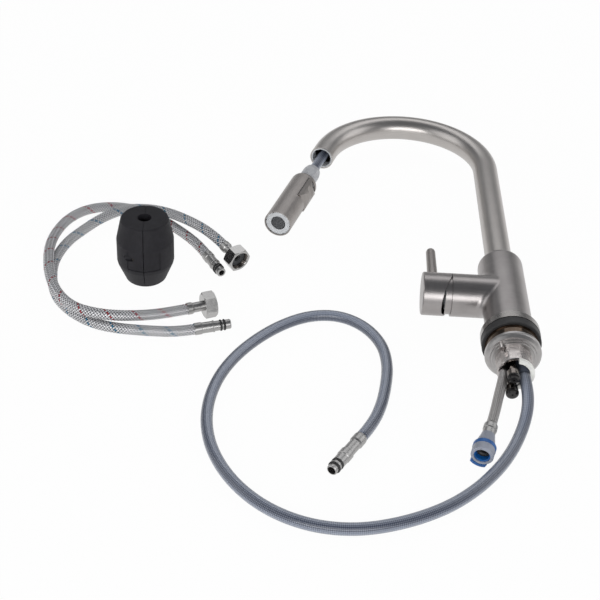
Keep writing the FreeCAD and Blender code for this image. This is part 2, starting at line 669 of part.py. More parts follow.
def makeButton():
    # a rocker with two crests, one each side of its pivot
    body = doc.addObject("PartDesign::Body", "button_blank")
    crest = "-headRadius - 1.1"
    corners = [
        ("-headRadius + 5.4", "buttonLow"), ("-headRadius + 1.9", "buttonLow"), ("-headRadius + 0.3", "buttonLow + 7"),
        ("-headRadius - 0.2", "buttonPivot - 6"), (crest, "buttonPivot - 1"), ("-headRadius + 0.6", "buttonPivot + 3.5"),
        ("-headRadius + 0.6", "buttonPivot + 8"), ("-headRadius - 0.8", "buttonPivot + 12"),
        ("-headRadius + 1.9", "buttonHigh"), ("-headRadius + 5.4", "buttonHigh"),
        ("-headRadius + 5.4", "buttonPivot + 3"), ("-headRadius + buttonPinDepth + 1.6", "buttonPivot + 2"),
        ("-headRadius + buttonPinDepth + 1.6", "buttonPivot - 2"), ("-headRadius + 5.4", "buttonPivot - 3")]
    sketch = outlineSketch(body, "button_side", corners, "XZ_Plane")
    pad = body.newObject("PartDesign::Pad", "button_pad")
    pad.Profile = sketch
    bound(pad, "Length", worded("buttonWidth"))
    pad.Midplane = True
    body.Tip = pad
    round_ = cylinder("button_round", "headRadius + 1.2", "headLength")
    trimmed = common("button_trimmed", body, round_)
    pinHole = cylinder("button_pin_hole", "buttonPin + fitGap", "buttonWidth + 4",
                       ("-headRadius + buttonPinDepth", "-buttonWidth / 2 - 2", "buttonPivot"), (0, 1, 0))
    seat("spray_button", cut("spray_button", trimmed, pinHole), headPlace)
    pin = turned("button_pin", [(0, 0), ("buttonPin", 0), ("buttonPin", "buttonWidth + 1.9"), (0, "buttonWidth + 1.9")])
    pinStart = Vector(size("buttonPinDepth") - size("headRadius"), -size("buttonWidth") / 2 - 0.95, size("buttonPivot"))
    pinPlace = Placement(pinStart, Rotation(Vector(0, 0, 1), Vector(0, 1, 0)))
    seat("button_pin", pin, headPlace.multiply(pinPlace))


# ---- hoses ----


def corded(points):
    """Wire of straight runs and tangent arcs through hand-chosen points; prints its bend radii."""
    edges, radii = [], []
    start = points[0]
    for i in range(1, len(points) - 1):
        back, ahead = points[i - 1] - points[i], points[i + 1] - points[i]
        run = min(back.Length, ahead.Length)
        turn = math.pi - back.getAngle(ahead)
        reach = 0.45 * run
        radius = reach / math.tan(turn / 2)
        radii.append(round(radius))
        near = points[i] + back.normalize() * reach
        far = points[i] + ahead.normalize() * reach
        middle = (back + ahead).normalize()
        centre = points[i] + middle * (radius / math.cos(turn / 2))
        crown = centre - middle * radius
        edges.append(Part.LineSegment(start, near).toShape())
        edges.append(Part.Arc(near, crown, far).toShape())
        start = far
    edges.append(Part.LineSegment(start, points[-1]).toShape())
    return Part.Wire(edges), radii


def hose(name, points, radius, bore=0.0):
    wire, radii = corded(points)
    along = (points[1] - points[0]).normalize()
    tube = wire.makePipe(Part.Wire(Part.makeCircle(radius, points[0], along)))
    ends = [Part.Face(Part.Wire(Part.makeCircle(radius, p, v))) for p, v in
            ((points[0], along), (points[-1], (points[-1] - points[-2]).normalize()))]
    solid = Part.makeSolid(Part.makeShell(tube.Faces + [f for f in ends]))
    if solid.Volume < 0:
        solid.reverse()
    area = math.pi * radius ** 2
    print("%s length %.0f, bends %s, volume ratio %.4f"
          % (name, wire.Length, radii, solid.Volume / (area * wire.Length)))
    piece = doc.addObject("Part::Feature", name)
    piece.Shape = solid
    piece.Label = name
    nodes[name] = piece
    return wire


# Routes on the bench, in the row's own frame; they start where the exits are.
guideExit = onTap(-size("hoseOffset"), 0, -size("shankLength") - size("guideLip"))
pullRoute = [Vector(*p) for p in (
    (195.8, -250.5, 27.4), (195.9, -266, 19.5), (192.4, -280.5, 11.5), (186, -297, 6.6), (177, -317, 5.8), (164, -339.5, 5.8),
    (143.5, -366, 5.8), (116, -391, 5.8), (79, -411.5, 5.8), (38, -423.5, 5.8), (-2, -421, 5.8), (-38.5, -404.5, 5.8),
    (-68, -377, 5.8), (-89, -342, 5.8), (-100, -303, 5.8), (-100.5, -262, 5.8), (-91, -221, 5.8), (-71.5, -183, 5.8),
    (-43, -148.5, 5.8), (-12, -127, 5.8), (19, -123.5, 5.8), (45.5, -139, 5.8), (63, -167.5, 5.8), (68, -201, 5.8),
    (65.5, -234, 5.8), (60.5, -264, 6), (51.7, -290.9, 6.6))]
pullEnd = Vector(41.8, -308.3, 6.6)
redRoute = [Vector(*p) for p in (
    (-134.9, -135.9, 12.1), (-147.7, -141.6, 12), (-172.2, -149.8, 11.9), (-199.5, -158.3, 15.6), (-222.5, -161.5, 19.2),
    (-246.5, -153.6, 19.2), (-266.5, -132.5, 19.2), (-279.1, -104.9, 19.4), (-286.5, -78.5, 19.8), (-293, -39, 15.2),
    (-293, 2, 7.4), (-284.6, 31.5, 5.9), (-267.5, 51.5, 5.9), (-242, 59.8, 5.9), (-214.6, 56.5, 5.9), (-191.5, 45.2, 5.9),
    (-170.6, 28.1, 5.9), (-149.8, 7.3, 5.9), (-134.9, -11.1, 6.1))]
redTail = Vector(-124.6, -29.1, 6.4)
blueRoute = [Vector(*p) for p in (
    (-141.7, -166.6, 5.8), (-170.6, -167.4, 5.8), (-198.4, -166.5, 5.8), (-223.4, -161.4, 5.8), (-248.7, -146.2, 5.8),
    (-269.5, -122.4, 5.8), (-279.8, -95.7, 5.8), (-285.1, -67.8, 5.8), (-284.6, -45.6, 5.8), (-278.5, -17.2, 5.8),
    (-264.9, 6.2, 7.2), (-245.7, 24.5, 13.4), (-222.9, 36.6, 18), (-197.5, 40, 18.2), (-173.3, 34.1, 18.2),
    (-150.3, 20.3, 18.2), (-132.5, 4.5, 19.4), (-117.2, -10.7, 18.3), (-106.5, -23.7, 16.4))]
outletRoute = [Vector(*p) for p in (
    (172.2, -245.5, 28), (168.4, -259.5, 22.6), (164.6, -275.5, 17.7), (159.6, -293.4, 16.7))]


def along(points, first, second):
    return (points[second] - points[first]).normalize()


def stacked(name, corners, start, direction, parts=None):
    """Turned piece set on a hose end, Z along the hose outwards."""
    body = turned(name, corners)
    place = Placement(start, Rotation(Vector(0, 0, 1), direction))
    return body, place


def makePullHose():
    route = [guideExit] + pullRoute
    route.append(pullEnd)
    hose("pull_hose_loop", route, size("pullHoseRadius"))
    inside = [onTap(*p) for p in (
        (-size("hoseOffset"), 0, -size("shankLength") - size("guideLip")),
        (-size("hoseOffset"), 0, size("branchHeight") + 12), (0, 0, size("bodyTop") - size("insertDepth") + 13),
        (0, 0, size("bodyTop") - size("insertDepth") + 31))]
    hose("pull_hose_body", inside, size("pullHoseRadius"))


def makeSpoutHose():
    """Hose through the spout: riser and most of the bend, then the stretch that follows the head."""
    radius = size("bendRadius")
    low = size("bodyTop") - size("insertDepth") + 31.1
    split = sweep - math.radians(26)

    def onBend(angle):
        return Vector(radius * (1 - math.cos(angle)), 0, size("bendHeight") + radius * math.sin(angle))

    def heading(angle):
        return Vector(math.sin(angle), 0, math.cos(angle))

    def tube(name, pieces, start, direction):
        wire = Part.Wire(pieces)
        circle = Part.Wire(Part.makeCircle(size("pullHoseRadius"), start, direction))
        solid = wire.makePipe(circle)
        tip = wire.Edges[-1].valueAt(wire.Edges[-1].LastParameter)
        faces = solid.Faces + [Part.Face(circle)]
        endWires = [e for e in solid.Edges if isinstance(e.Curve, Part.Circle) and (e.Curve.Center - tip).Length < 0.01]
        faces.append(Part.Face(Part.Wire(endWires[0])))
        whole = Part.makeSolid(Part.makeShell(faces))
        if whole.Volume < 0:
            whole.reverse()
        print("%s length %.0f, volume ratio %.4f"
              % (name, wire.Length, whole.Volume / (math.pi * size("pullHoseRadius") ** 2 * wire.Length)))
        piece = doc.addObject("Part::Feature", name)
        piece.Shape = whole
        piece.Placement = tapPlace
        piece.Label = name
        nodes[name] = piece

    foot = Vector(0, 0, low)
    crown = Vector(0, 0, size("bendHeight"))
    lower = [Part.LineSegment(foot, crown).toShape(), Part.Arc(crown, onBend(split / 2), onBend(split)).toShape()]
    tube("pull_hose_spout", lower, foot, Vector(0, 0, 1))
    start = onBend(split + 0.0012)
    tip = face - outward * (size("headLength") + 4.1)
    upper = [Part.Arc(start, onBend((split + sweep) / 2), bendEnd).toShape(), Part.LineSegment(bendEnd, tip).toShape()]
    tube("pull_hose_reach", upper, start, heading(split + 0.0012))


def crimp(name, start, direction, radius, length):
    """Two-step crimped ferrule with a ridge between its steps."""
    body, place = stacked(name, [
        (0, 0.05), ("ferruleRadius", 0.05), ("ferruleRadius + 0.35", 0.9), ("ferruleRadius + 0.35", 5.2),
        (radius, 6.2), (radius, length), (0, length)], start, direction)
    seat(name, body, place)


def makePullPlug():
    route = [guideExit] + pullRoute + [pullEnd]
    direction = along(route, -2, -1)
    crimped, place = stacked("pull_hose_ferrule", [
        (0, 0.05), ("ferruleRadius", 0.05), ("ferruleRadius + 0.3", 2), ("ferruleRadius + 0.3", 9), ("ferruleRadius - 0.5", 10.8),
        ("ferruleRadius - 0.5", 24), (0, 24)], pullEnd, direction)
    seat("pull_hose_ferrule", crimped, place)
    plug, _ = stacked("pull_hose_plug", [
        (0, 24.05), ("ferruleRadius - 0.6", 24.05), ("ferruleRadius + 0.35", 24.9), ("ferruleRadius + 0.35", 31.7),
        ("ferruleRadius - 0.2", 32.4), ("ferruleRadius - 0.2", 40.7), ("plugGroove", 40.7), ("plugGroove", 43.1),
        ("plugTip + 0.4", 43.1), ("plugTip + 0.4", 45.9), ("plugGroove", 45.9), ("plugGroove", 48.3), ("plugTip", 48.3),
        ("plugTip", 51.7), ("plugTip - 0.5", 52.3), ("plugBore", 52.3), ("plugBore", 36), (0, 36)], pullEnd, direction)
    seat("pull_hose_plug", plug, place)
    rings = []
    for number, at in enumerate((40.8, 46.0), start=1):
        ring, _ = stacked("plug_ring_%d" % number, [
            ("plugGroove + 0.05", at), ("ferruleRadius - 0.4", at), ("ferruleRadius", at + 0.6), ("ferruleRadius", at + 1.6),
            ("ferruleRadius - 0.4", at + 2.2), ("plugGroove + 0.05", at + 2.2)], pullEnd, direction)
        rings.append(ring)
    seat("pull_hose_rings", fuse("pull_hose_rings", *rings), place)


def hexPrism(name, flats, low, high):
    prism = doc.addObject("Part::Prism", name)
    prism.Polygon = 6
    bound(prism, "Circumradius", worded("(%s) / 2 / cos(30 deg)" % flats))
    bound(prism, "Height", worded("(%s) - (%s)" % (high, low)))
    prism.Placement = Placement(Vector(0, 0, evaluated(low)), Rotation(Vector(0, 0, 1), 30))
    return prism


def makeSupply(colour, route, tailTip, nutFirst):
    """Braided hose with a union nut at one end and a screw-in tail at the other."""
    if nutFirst:
        points = route + [tailTip]
        nutEnd, nutAlong = points[0], (points[0] - points[1]).normalize()
        tailEnd, tailAlong = points[-1], along(points, -2, -1)
    else:
        points = [tailTip] + route
        nutEnd, nutAlong = points[-1], along(points, -2, -1)
        tailEnd, tailAlong = points[0], (points[0] - points[1]).normalize()
    name = "supply_%s_" % colour
    hose(name + "hose", points, size("supplyHoseRadius"))
    crimped, place = stacked(name + "ferrule", [
        (0, 0.05), ("ferruleRadius", 0.05), ("ferruleRadius", 5), ("ferruleRadius - 1", 6.5), ("ferruleRadius - 1", 20),
        ("nutBore - 1.2", 20), ("nutBore - 1.2", 22.4), (3, 22.4), (3, 12), (0, 12)], nutEnd, nutAlong)
    seat(name + "ferrule", crimped, place)
    # rolled so that one of the nut's flats faces the bench
    place = place.multiply(Placement(Vector(), Rotation(Vector(0, 0, 1), math.degrees(math.atan2(nutAlong.y, nutAlong.x)))))
    hexed = hexPrism(name + "hex", "nutFlats", "17", "17 + nutLength")
    bevel = turned(name + "bevel", [
        (0, 17), ("nutFlats / 2", 17), ("nutFlats / 2 + 1.9", 18.2), ("nutFlats / 2 + 1.9", "15.8 + nutLength"),
        ("nutFlats / 2", "17 + nutLength"), (0, "17 + nutLength")])
    body = common(name + "blank", hexed, bevel)
    bore = turned(name + "bore", [
        (0, 16), ("ferruleRadius - 1 + fitGap", 16), ("ferruleRadius - 1 + fitGap", 19.9), ("nutBore + 0.3", 19.9), ("nutBore + 0.3", 24.4), ("nutBore", 24.4),
        ("nutBore", "16 + nutLength"), ("nutBore + 1", "18 + nutLength"), (0, "18 + nutLength")])
    seat(name + "nut", cut(name + "nut", body, bore), place)
    washer, _ = stacked(name + "washer", [
        (4, 22.5), ("nutBore - 0.4", 22.5), ("nutBore - 0.4", 24.3), (4, 24.3)], nutEnd, nutAlong)
    seat(name + "washer", washer, place)
    tail, place = stacked(name + "tail", [
        (0, 0.05), ("ferruleRadius", 0.05), ("ferruleRadius", 7), ("ferruleRadius - 0.6", 7.6), ("ferruleRadius - 0.6", 18.5),
        ("ferruleRadius - 0.1", 18.8), ("ferruleRadius - 0.1", 20), ("tailPinRadius + 0.2", 20.3), ("tailPinRadius + 0.2", 25.6),
        (4.2, 25.8), (4.2, 27.8), ("tailPinRadius", 28), ("tailPinRadius", 29.2), (4.2, 29.4), (4.2, 31.4),
        ("tailPinRadius", 31.6), ("tailPinRadius", 36.3), ("tailPinRadius - 0.5", 37), (3.1, 37), (3.1, 22), (0, 22)],
        tailEnd, tailAlong)
    seat(name + "tail", tail, place)
    rings = []
    for number, at in enumerate((25.85, 29.45), start=1):
        ring, _ = stacked("%sring_%d" % (name, number), [
            (4.26, at), ("tailPinRadius + 0.5", at), ("tailPinRadius + 0.9", at + 0.6), ("tailPinRadius + 0.9", at + 1.3),
            ("tailPinRadius + 0.5", at + 1.9), (4.26, at + 1.9)], tailEnd, tailAlong)
        rings.append(ring)
    seat(name + "rings", fuse(name + "rings", *rings), place)


def makeOutlet():
    points = [onTap(size("outletReach"), 0.8, -size("shankLength") - 1.6)] + outletRoute
    hose("outlet_hose", points, size("outletHoseRadius"))
    direction = along(points, -2, -1)
    end = points[-1]
    crimped, place = stacked("outlet_ferrule", [
        (0, 0.05), (6, 0.05), (6.5, 1), (6.5, 6.5), (6, 7.6), (6, 13.5), (0, 13.5)], end, direction)
    seat("outlet_ferrule", crimped, place)
    socket, _ = stacked("outlet_socket", [
        (0, 13.55), (6.4, 13.55), (6.8, 16), ("socketRadius - 1.2", 27), ("socketRadius - 1.2", 32.3), ("socketRadius", 32.3),
        ("socketRadius", 40.2), ("socketRadius - 0.6", 40.9), ("socketBore", 40.9), ("socketBore", 26), (0, 26)], end, direction)
    seat("outlet_socket", socket, place)
    # the clip's band sits in the neck; its tab wraps the ring's lower left
    clip = turned("clip_band", [
        ("socketRadius - 1.14", 28.4), ("socketRadius + 0.3", 28.4), ("socketRadius + 0.3", 32.24), ("socketRadius - 1.14", 32.24)])
    crescent = cylinder("clip_tab_outer", "socketRadius + 2.9", "12.6", (0, 0, 28.4))
    inner = cylinder("clip_tab_inner", "socketRadius + 0.06", "14", (1.5, 1.5, 27.5))
    ringRoom = cylinder("clip_tab_room", "socketRadius + 0.06", "9.8", (0, 0, 32.24))
    bandRoom = cylinder("clip_tab_band", "socketRadius + 0.2", "4.1", (0, 0, 28.3))
    half = block("clip_tab_half", "13", "40", "14", [-13.7, -20, 27.9])
    tab = common("clip_tab_side", cut("clip_tab_cut", crescent, inner, ringRoom, bandRoom), half)
    lowered = block("clip_tab_side2", "40", "14.4", "14", [-20, -8.5, 27.9])
    clipPiece = fuse("outlet_clip", clip, common("clip_tab", tab, lowered))
    seat("outlet_clip", clipPiece, place.multiply(Placement(Vector(0, 0, 0), Rotation(Vector(0, 0, 1), 52))))


# ---- counterweight ----


def makeWeight():
    spot = Vector(tapX - size("weightAcross"), deckY + size("weightBack"), 0)
    place = Placement(spot, Rotation(Vector(0, 0, 1), size("weightTurn")))
    band = "weightLow"
    for number, side in enumerate((1, -1), start=1):
        barrel = turned("weight_blank_%d" % number, [
            ("weightBore", 0), ("weightFoot - 1.5", 0), ("weightFoot", 1.5), ("weightRadius - 0.7", "weightLow - 3.2"),
            ("weightRadius", band), ("weightRadius", "weightHigh - 2"), ("weightRadius - 0.6", "weightHigh + 1"),
            ("weightTop + 0.7", "weightHeight - 1.4"), ("weightTop - 0.6", "weightHeight"), ("weightBore", "weightHeight")])
        low = "0.04" if side > 0 else "-60.04"
        half = block("weight_half_%d" % number, "60", "120", "100", [low, -60, -5])
        half.Placement = Placement(half.Placement.Base, Rotation())
        piece = common("weight_side_%d" % number, barrel, half)
        # the seam is open at the surface, and the front has a shallow bare strip
        seams = [block("weight_seam_%d%d" % (number, k), "0.7", "8", "100", [-0.35, y, -5]) for k, y in enumerate((-31, 23))]
        edges = [block("weight_seam_end_%d%d" % (number, k), "0.7", "60", "1", [-0.35, -30, z]) for k, z in enumerate((-0.4, 72.5))]
        front = block("weight_strip_front_%d" % number, "34", "20", "21.5", [-17, -35, "weightScrew - 13.5"])
        strip = cut("weight_strip_%d" % number, front, cylinder("weight_strip_core_%d" % number, "weightRadius - 0.5", "100"))
        screws = []
        for k, turn in enumerate((1, -1)):
            screws.append(cylinder("weight_hole_%d%d" % (number, k), "1.96", "30.06", (-18.06 if turn > 0 else -12, "-weightScrewOut" if turn > 0 else "weightScrewOut", "weightScrew"), (1, 0, 0)))
            start = -40 if turn > 0 else 8.9
            screws.append(cylinder("weight_pocket_%d%d" % (number, k), "3.2", "31.1", (start, "-weightScrewOut" if turn > 0 else "weightScrewOut", "weightScrew"), (1, 0, 0)))
        seat("weight_half_" + ("right" if side > 0 else "left"),
             cut("weight_cut_%d" % number, piece, *seams, *edges, strip, *screws), place)
    bolts = []
    for k, turn in enumerate((1, -1)):
        out = "-weightScrewOut" if turn > 0 else "weightScrewOut"
        bolts.append(cylinder("weight_bolt_%d" % k, "1.9", "20.5", (-9 if turn > 0 else -11.5, out, "weightScrew"), (1, 0, 0)))
        head = cylinder("weight_bolt_head_%d" % k, "3.0", "2.4", (-11.35 if turn > 0 else 8.95, out, "weightScrew"), (1, 0, 0))
        slot = cylinder("weight_bolt_drive_%d" % k, "1.3", "1.5", (-11.8 if turn > 0 else 10.3, out, "weightScrew"), (1, 0, 0))
        bolts.append(cut("weight_bolt_cap_%d" % k, head, slot))
    seat("weight_screws", fuse("weight_screws", *bolts), place)


makeBody()
makeDeckSeat()
makeShank()
makeCore()
makeTails()
makeCartridge()
makeSleeve()
makeHandle()
makeSpout()
makeMouthBush()
makeSwivelSeals()
makeHead()
makeButton()
makePullHose()
makeSpoutHose()
makePullPlug()
makeSupply("red", redRoute, redTail, True)
makeSupply("blue", blueRoute, Vector(-124.8, -161.2, 6.3), False)
makeOutlet()
makeWeight()
doc.recompute()

for thing in doc.Objects:
    if "Invalid" in thing.State or "Error" in thing.State:
        raise RuntimeError("%s failed: %s" % (thing.Label, thing.State))
os.makedirs("parts", exist_ok=True)
for name, piece in nodes.items():
    if piece.Shape.isNull() or not piece.Shape.isValid():
        raise RuntimeError(name + " has no valid shape")
for name, piece in nodes.items():
    piece.Shape.exportStep("parts/%s.step" % name)
print(len(nodes), "sub-parts written")
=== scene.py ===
import math

import bmesh
import bpy
from mathutils import Matrix, Vector


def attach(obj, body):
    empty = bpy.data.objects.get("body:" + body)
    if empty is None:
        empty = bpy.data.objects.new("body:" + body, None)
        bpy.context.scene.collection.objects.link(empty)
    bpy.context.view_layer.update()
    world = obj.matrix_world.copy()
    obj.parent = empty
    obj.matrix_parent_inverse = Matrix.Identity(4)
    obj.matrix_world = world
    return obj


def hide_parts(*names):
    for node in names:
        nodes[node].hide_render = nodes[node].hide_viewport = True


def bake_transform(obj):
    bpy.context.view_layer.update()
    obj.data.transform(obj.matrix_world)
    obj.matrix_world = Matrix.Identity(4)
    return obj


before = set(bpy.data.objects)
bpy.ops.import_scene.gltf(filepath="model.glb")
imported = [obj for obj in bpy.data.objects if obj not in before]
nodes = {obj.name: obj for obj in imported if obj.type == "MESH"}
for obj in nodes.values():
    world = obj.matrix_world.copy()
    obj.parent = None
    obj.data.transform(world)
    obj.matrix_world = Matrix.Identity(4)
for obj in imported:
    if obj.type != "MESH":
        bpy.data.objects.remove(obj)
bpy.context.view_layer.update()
scene = bpy.context.scene
fullTurn = 2 * math.pi
print("frame loaded:", len(nodes), "nodes")

# camera, light and floor

view = {
    "place": (-0.01308, -1.19065, 0.79622),
    "yaw": -0.44, "pitch": 35.95, "roll": 2.98,  # degrees
    "lens": 78.0, "sensor": 36.0,  # mm
    "farthest": 20,  # metres, past which nothing is drawn
}


def makeCamera():
    yaw, pitch, roll = (math.radians(view[word]) for word in ("yaw", "pitch", "roll"))
    ahead = Vector((math.sin(yaw) * math.cos(pitch), math.cos(yaw) * math.cos(pitch), -math.sin(pitch)))
    level = Vector((math.cos(yaw), -math.sin(yaw), 0))
    above = level.cross(ahead)
    right = level * math.cos(roll) + above * math.sin(roll)
    up = above * math.cos(roll) - level * math.sin(roll)
    turn = Matrix((right, up, -ahead)).transposed().to_4x4()
    data = bpy.data.cameras.new("camera")
    data.lens, data.sensor_width, data.sensor_fit = view["lens"], view["sensor"], "HORIZONTAL"
    data.clip_end = view["farthest"]
    camera = bpy.data.objects.new("camera", data)
    camera.matrix_world = Matrix.Translation(view["place"]) @ turn
    scene.collection.objects.link(camera)
    scene.camera = camera


def linear(colour):
    # sRGB hex to the linear colour that the shaders want
    parts = [int(colour[i:i + 2], 16) / 255 for i in (1, 3, 5)]
    return (*[p / 12.92 if p <= 0.04045 else ((p + 0.055) / 1.055) ** 2.4 for p in parts], 1)


def put(tree, kind, inputs=None, **settings):
    # adds a node with its settings; an input is a value, a socket, or a node, which gives its first output
    node = tree.nodes.new(kind)
    for word, value in settings.items():
        setattr(node, word, value)
    for word, value in (inputs or {}).items():
        if isinstance(value, bpy.types.Node):
            value = value.outputs[0]
        if isinstance(value, bpy.types.NodeSocket):
            tree.links.new(value, node.inputs[word])
        else:
            node.inputs[word].default_value = value
    return node


studio = {
    "floorSize": 8.0, "floorDrop": 0.0004, "floorColour": "#F4F4F3",
    "floorGlow": 0.97,  # the share of plain white in what is seen of the floor, so that its shadows stay faint
    "skyHigh": "#85888D", "skyLow": "#F2F2F2", "skyLight": 0.62,
    "skyHeights": (0.05, 0.5),  # where the sky's ramp begins and ends
    # name, place, aim, size across and along, watts
    "lamps": [
        ("lampLeft", (-1.8, -0.3, 1.2), (0, 0, 0), 1.8, 1.8, 12),
        ("lampRight", (1.9, 0.2, 1.1), (0.1, 0, 0), 1.6, 1.6, 10),
        ("lampBack", (0.2, 1.6, 1.9), (0, 0.1, 0), 2.6, 1.2, 13),
        ("lampFront", (0.0, -2.2, 0.9), (0.1, 0, 0.0), 2.6, 0.9, 30),
    ],
}
white = (1, 1, 1, 1)


def seenDirectly(tree):
    # 1 for what the camera, a mirror or a clear surface sees
    rays = put(tree, "ShaderNodeLightPath").outputs
    first = put(tree, "ShaderNodeMath", {0: rays["Is Camera Ray"], 1: rays["Is Glossy Ray"]}, operation="MAXIMUM")
    return put(tree, "ShaderNodeMath", {0: first, 1: rays["Is Transmission Ray"]}, operation="MAXIMUM")


def makeFloor():
    # white paper: matt and even, so that the shadows on it are soft
    half, drop = studio["floorSize"] / 2, studio["floorDrop"]
    corners = [(x * half, y * half, -drop) for x, y in ((-1, -1), (1, -1), (1, 1), (-1, 1))]
    mesh = bpy.data.meshes.new("floor")
    mesh.from_pydata(corners, [], [(0, 1, 2, 3)])
    floor = bpy.data.objects.new("floor", mesh)
    scene.collection.objects.link(floor)
    sheet = bpy.data.materials.new("paperFloor")
    sheet.use_nodes = True
    tree = sheet.node_tree
    tree.nodes.clear()
    paper = put(tree, "ShaderNodeBsdfDiffuse", {"Color": linear(studio["floorColour"])})
    glow = put(tree, "ShaderNodeEmission", {"Color": white, "Strength": 1.0})
    share = put(tree, "ShaderNodeMath", {0: seenDirectly(tree), 1: studio["floorGlow"]}, operation="MULTIPLY")
    mixed = put(tree, "ShaderNodeMixShader", {0: share, 1: paper, 2: glow})
    put(tree, "ShaderNodeOutputMaterial", {"Surface": mixed})
    mesh.materials.append(sheet)


def makeSky():
    # pale at the horizon and greyer overhead, as a studio is
    world = bpy.data.worlds.new("studioSky")
    world.use_nodes = True
    scene.world = world
    tree = world.node_tree
    tree.nodes.clear()
    at = put(tree, "ShaderNodeTexCoord")
    split = put(tree, "ShaderNodeSeparateXYZ", {0: at.outputs["Generated"]})
    ramp = put(tree, "ShaderNodeValToRGB", {0: split.outputs["Z"]})
    for stop, height, word in zip(ramp.color_ramp.elements, studio["skyHeights"], ("skyLow", "skyHigh")):
        stop.position, stop.color = height, linear(studio[word])
    dim = put(tree, "ShaderNodeBackground", {"Color": ramp, "Strength": studio["skyLight"]})
    pale = put(tree, "ShaderNodeBackground", {"Color": white, "Strength": 1.0})
    rays = put(tree, "ShaderNodeLightPath").outputs
    mixed = put(tree, "ShaderNodeMixShader", {0: rays["Is Camera Ray"], 1: dim, 2: pale})
    put(tree, "ShaderNodeOutputWorld", {"Surface": mixed})


def makeLamps():
    for name, place, aim, across, down, watts in studio["lamps"]:
        data = bpy.data.lights.new(name, "AREA")
        data.shape, data.size, data.size_y, data.energy = "RECTANGLE", across, down, watts
        lamp = bpy.data.objects.new(name, data)
        turn = (Vector(aim) - Vector(place)).to_track_quat("-Z", "Y")
        lamp.matrix_world = Matrix.Translation(place) @ turn.to_matrix().to_4x4()
        scene.collection.objects.link(lamp)


makeCamera()
makeFloor()
makeSky()
makeLamps()
scene.view_settings.view_transform = "Standard"
print("camera, floor and light ready")

# materials

noise = {"roughness": 0.6, "detail": 2.0, "low": 0.25, "high": 0.75}  # nearly all of it lies from low to high


def newMaterial(name):
    material = bpy.data.materials.new(name)
    material.use_nodes = True
    material.node_tree.nodes.clear()
    return material, material.node_tree


def addShader(material, inputs):
    # gives a material its shader
    shader = put(material.node_tree, "ShaderNodeBsdfPrincipled", inputs)
    put(material.node_tree, "ShaderNodeOutputMaterial", {"Surface": shader})
    return material


def grain(tree, widthsMm, detail=noise["detail"]):
    # noise whose lumps have these sizes along X, Y and Z
    at = put(tree, "ShaderNodeTexCoord")
    scale = put(tree, "ShaderNodeMapping", {"Vector": at.outputs["Object"], "Scale": [1000 / w for w in widthsMm]})
    return put(tree, "ShaderNodeTexNoise", {
        "Vector": scale, "Scale": 1.0, "Detail": detail, "Roughness": noise["roughness"]}).outputs["Fac"]


def worn(tree, look, clouds, marks):
    # clouds spread the colour from dark to light; marks spread the roughness and stand up as relief
    span = {"From Min": noise["low"], "From Max": noise["high"]}
    share = put(tree, "ShaderNodeMapRange", {"Value": clouds, **span, "To Min": 0.0, "To Max": 1.0})
    rough = put(tree, "ShaderNodeMapRange", {"Value": marks, **span, "To Min": look["smooth"], "To Max": look["rough"]})
    return {"Roughness": rough, **shaded(tree, look, share, marks)}


def shaded(tree, look, share, height):
    # colour from dark to light by share, and relief by height
    colour = put(tree, "ShaderNodeMix", {0: share, 6: linear(look["dark"]), 7: linear(look["light"])}, data_type="RGBA")
    relief = put(tree, "ShaderNodeBump", {"Height": height, "Distance": look["reliefMm"] / 1000, "Strength": 1.0})
    return {"Base Color": colour.outputs[2], "Normal": relief}


# stainless steel brushed with a fine belt: dull, warm grey, with hair lines across the piece
# a real hair line is finer than 0.1 mm, and these are drawn 0.5 mm wide so that they show
brushed = {
    "light": "#A7A3A2", "dark": "#8F8B8A", "smooth": 0.3, "rough": 0.38,
    "hairMm": 0.5, "runMm": 26.0, "hairDetail": 4.0, "cloudMm": 18.0, "reliefMm": 0.006,
}


def brushedSteel(name, widthsMm, **change):
    look = {**brushed, **change}
    material, tree = newMaterial(name)
    hair = grain(tree, widthsMm, look["hairDetail"])
    cloud = grain(tree, (look["cloudMm"],) * 3)
    both = put(tree, "ShaderNodeMath", {0: hair, 1: cloud}, operation="ADD")
    half = put(tree, "ShaderNodeMath", {0: both, 1: 0.5}, operation="MULTIPLY")
    return addShader(material, {"Metallic": 1.0, **worn(tree, look, half, hair)})


# metal turned, cast or drawn, with or without a plating: even, with faint marks of the tool
# real tool marks are much finer, and these are drawn 3.2 mm wide and faint, so that they show without a mottle
tooled = {"marksMm": 3.2, "reliefMm": 0.002}


def tooledMetal(name, light, dark, smooth, rough):
    look = {**tooled, "light": light, "dark": dark, "smooth": smooth, "rough": rough}
    material, tree = newMaterial(name)
    marks = grain(tree, (look["marksMm"],) * 3)
    return addShader(material, {"Metallic": 1.0, **worn(tree, look, marks, marks)})


# moulded plastic or rubber: even colour, fine pebble from the mould
mould = {"pebbleMm": 0.5, "cloudMm": 9.0, "reliefMm": 0.02, "gloss": 0.5, "smoother": 0.05, "rougher": 0.06}


def moulded(name, light, dark, rough, **change):
    look = {**mould, "light": light, "dark": dark, **change}
    look["smooth"], look["rough"] = rough - look["smoother"], rough + look["rougher"]
    material, tree = newMaterial(name)
    pebble = grain(tree, (look["pebbleMm"],) * 3)
    cloud = grain(tree, (look["cloudMm"],) * 3)
    return addShader(material, {"Specular IOR Level": look["gloss"], **worn(tree, look, cloud, pebble)})


# widths of the grain along X, Y and Z, in mm
roundBody = (brushed["runMm"], brushed["hairMm"], brushed["runMm"])
roundBranch = (brushed["hairMm"], brushed["runMm"], brushed["runMm"])
evenGrain = (0.8, 0.8, 0.8)
# stainless steel of the body, brushed round it: a dull, warm grey with hair lines across its length
steelBody = brushedSteel("brushedSteelBody", roundBody)
# the same belt finish round the branch and its cap, so that the light breaks into bands along it
steelBranch = brushedSteel("brushedSteelHandle", roundBranch)
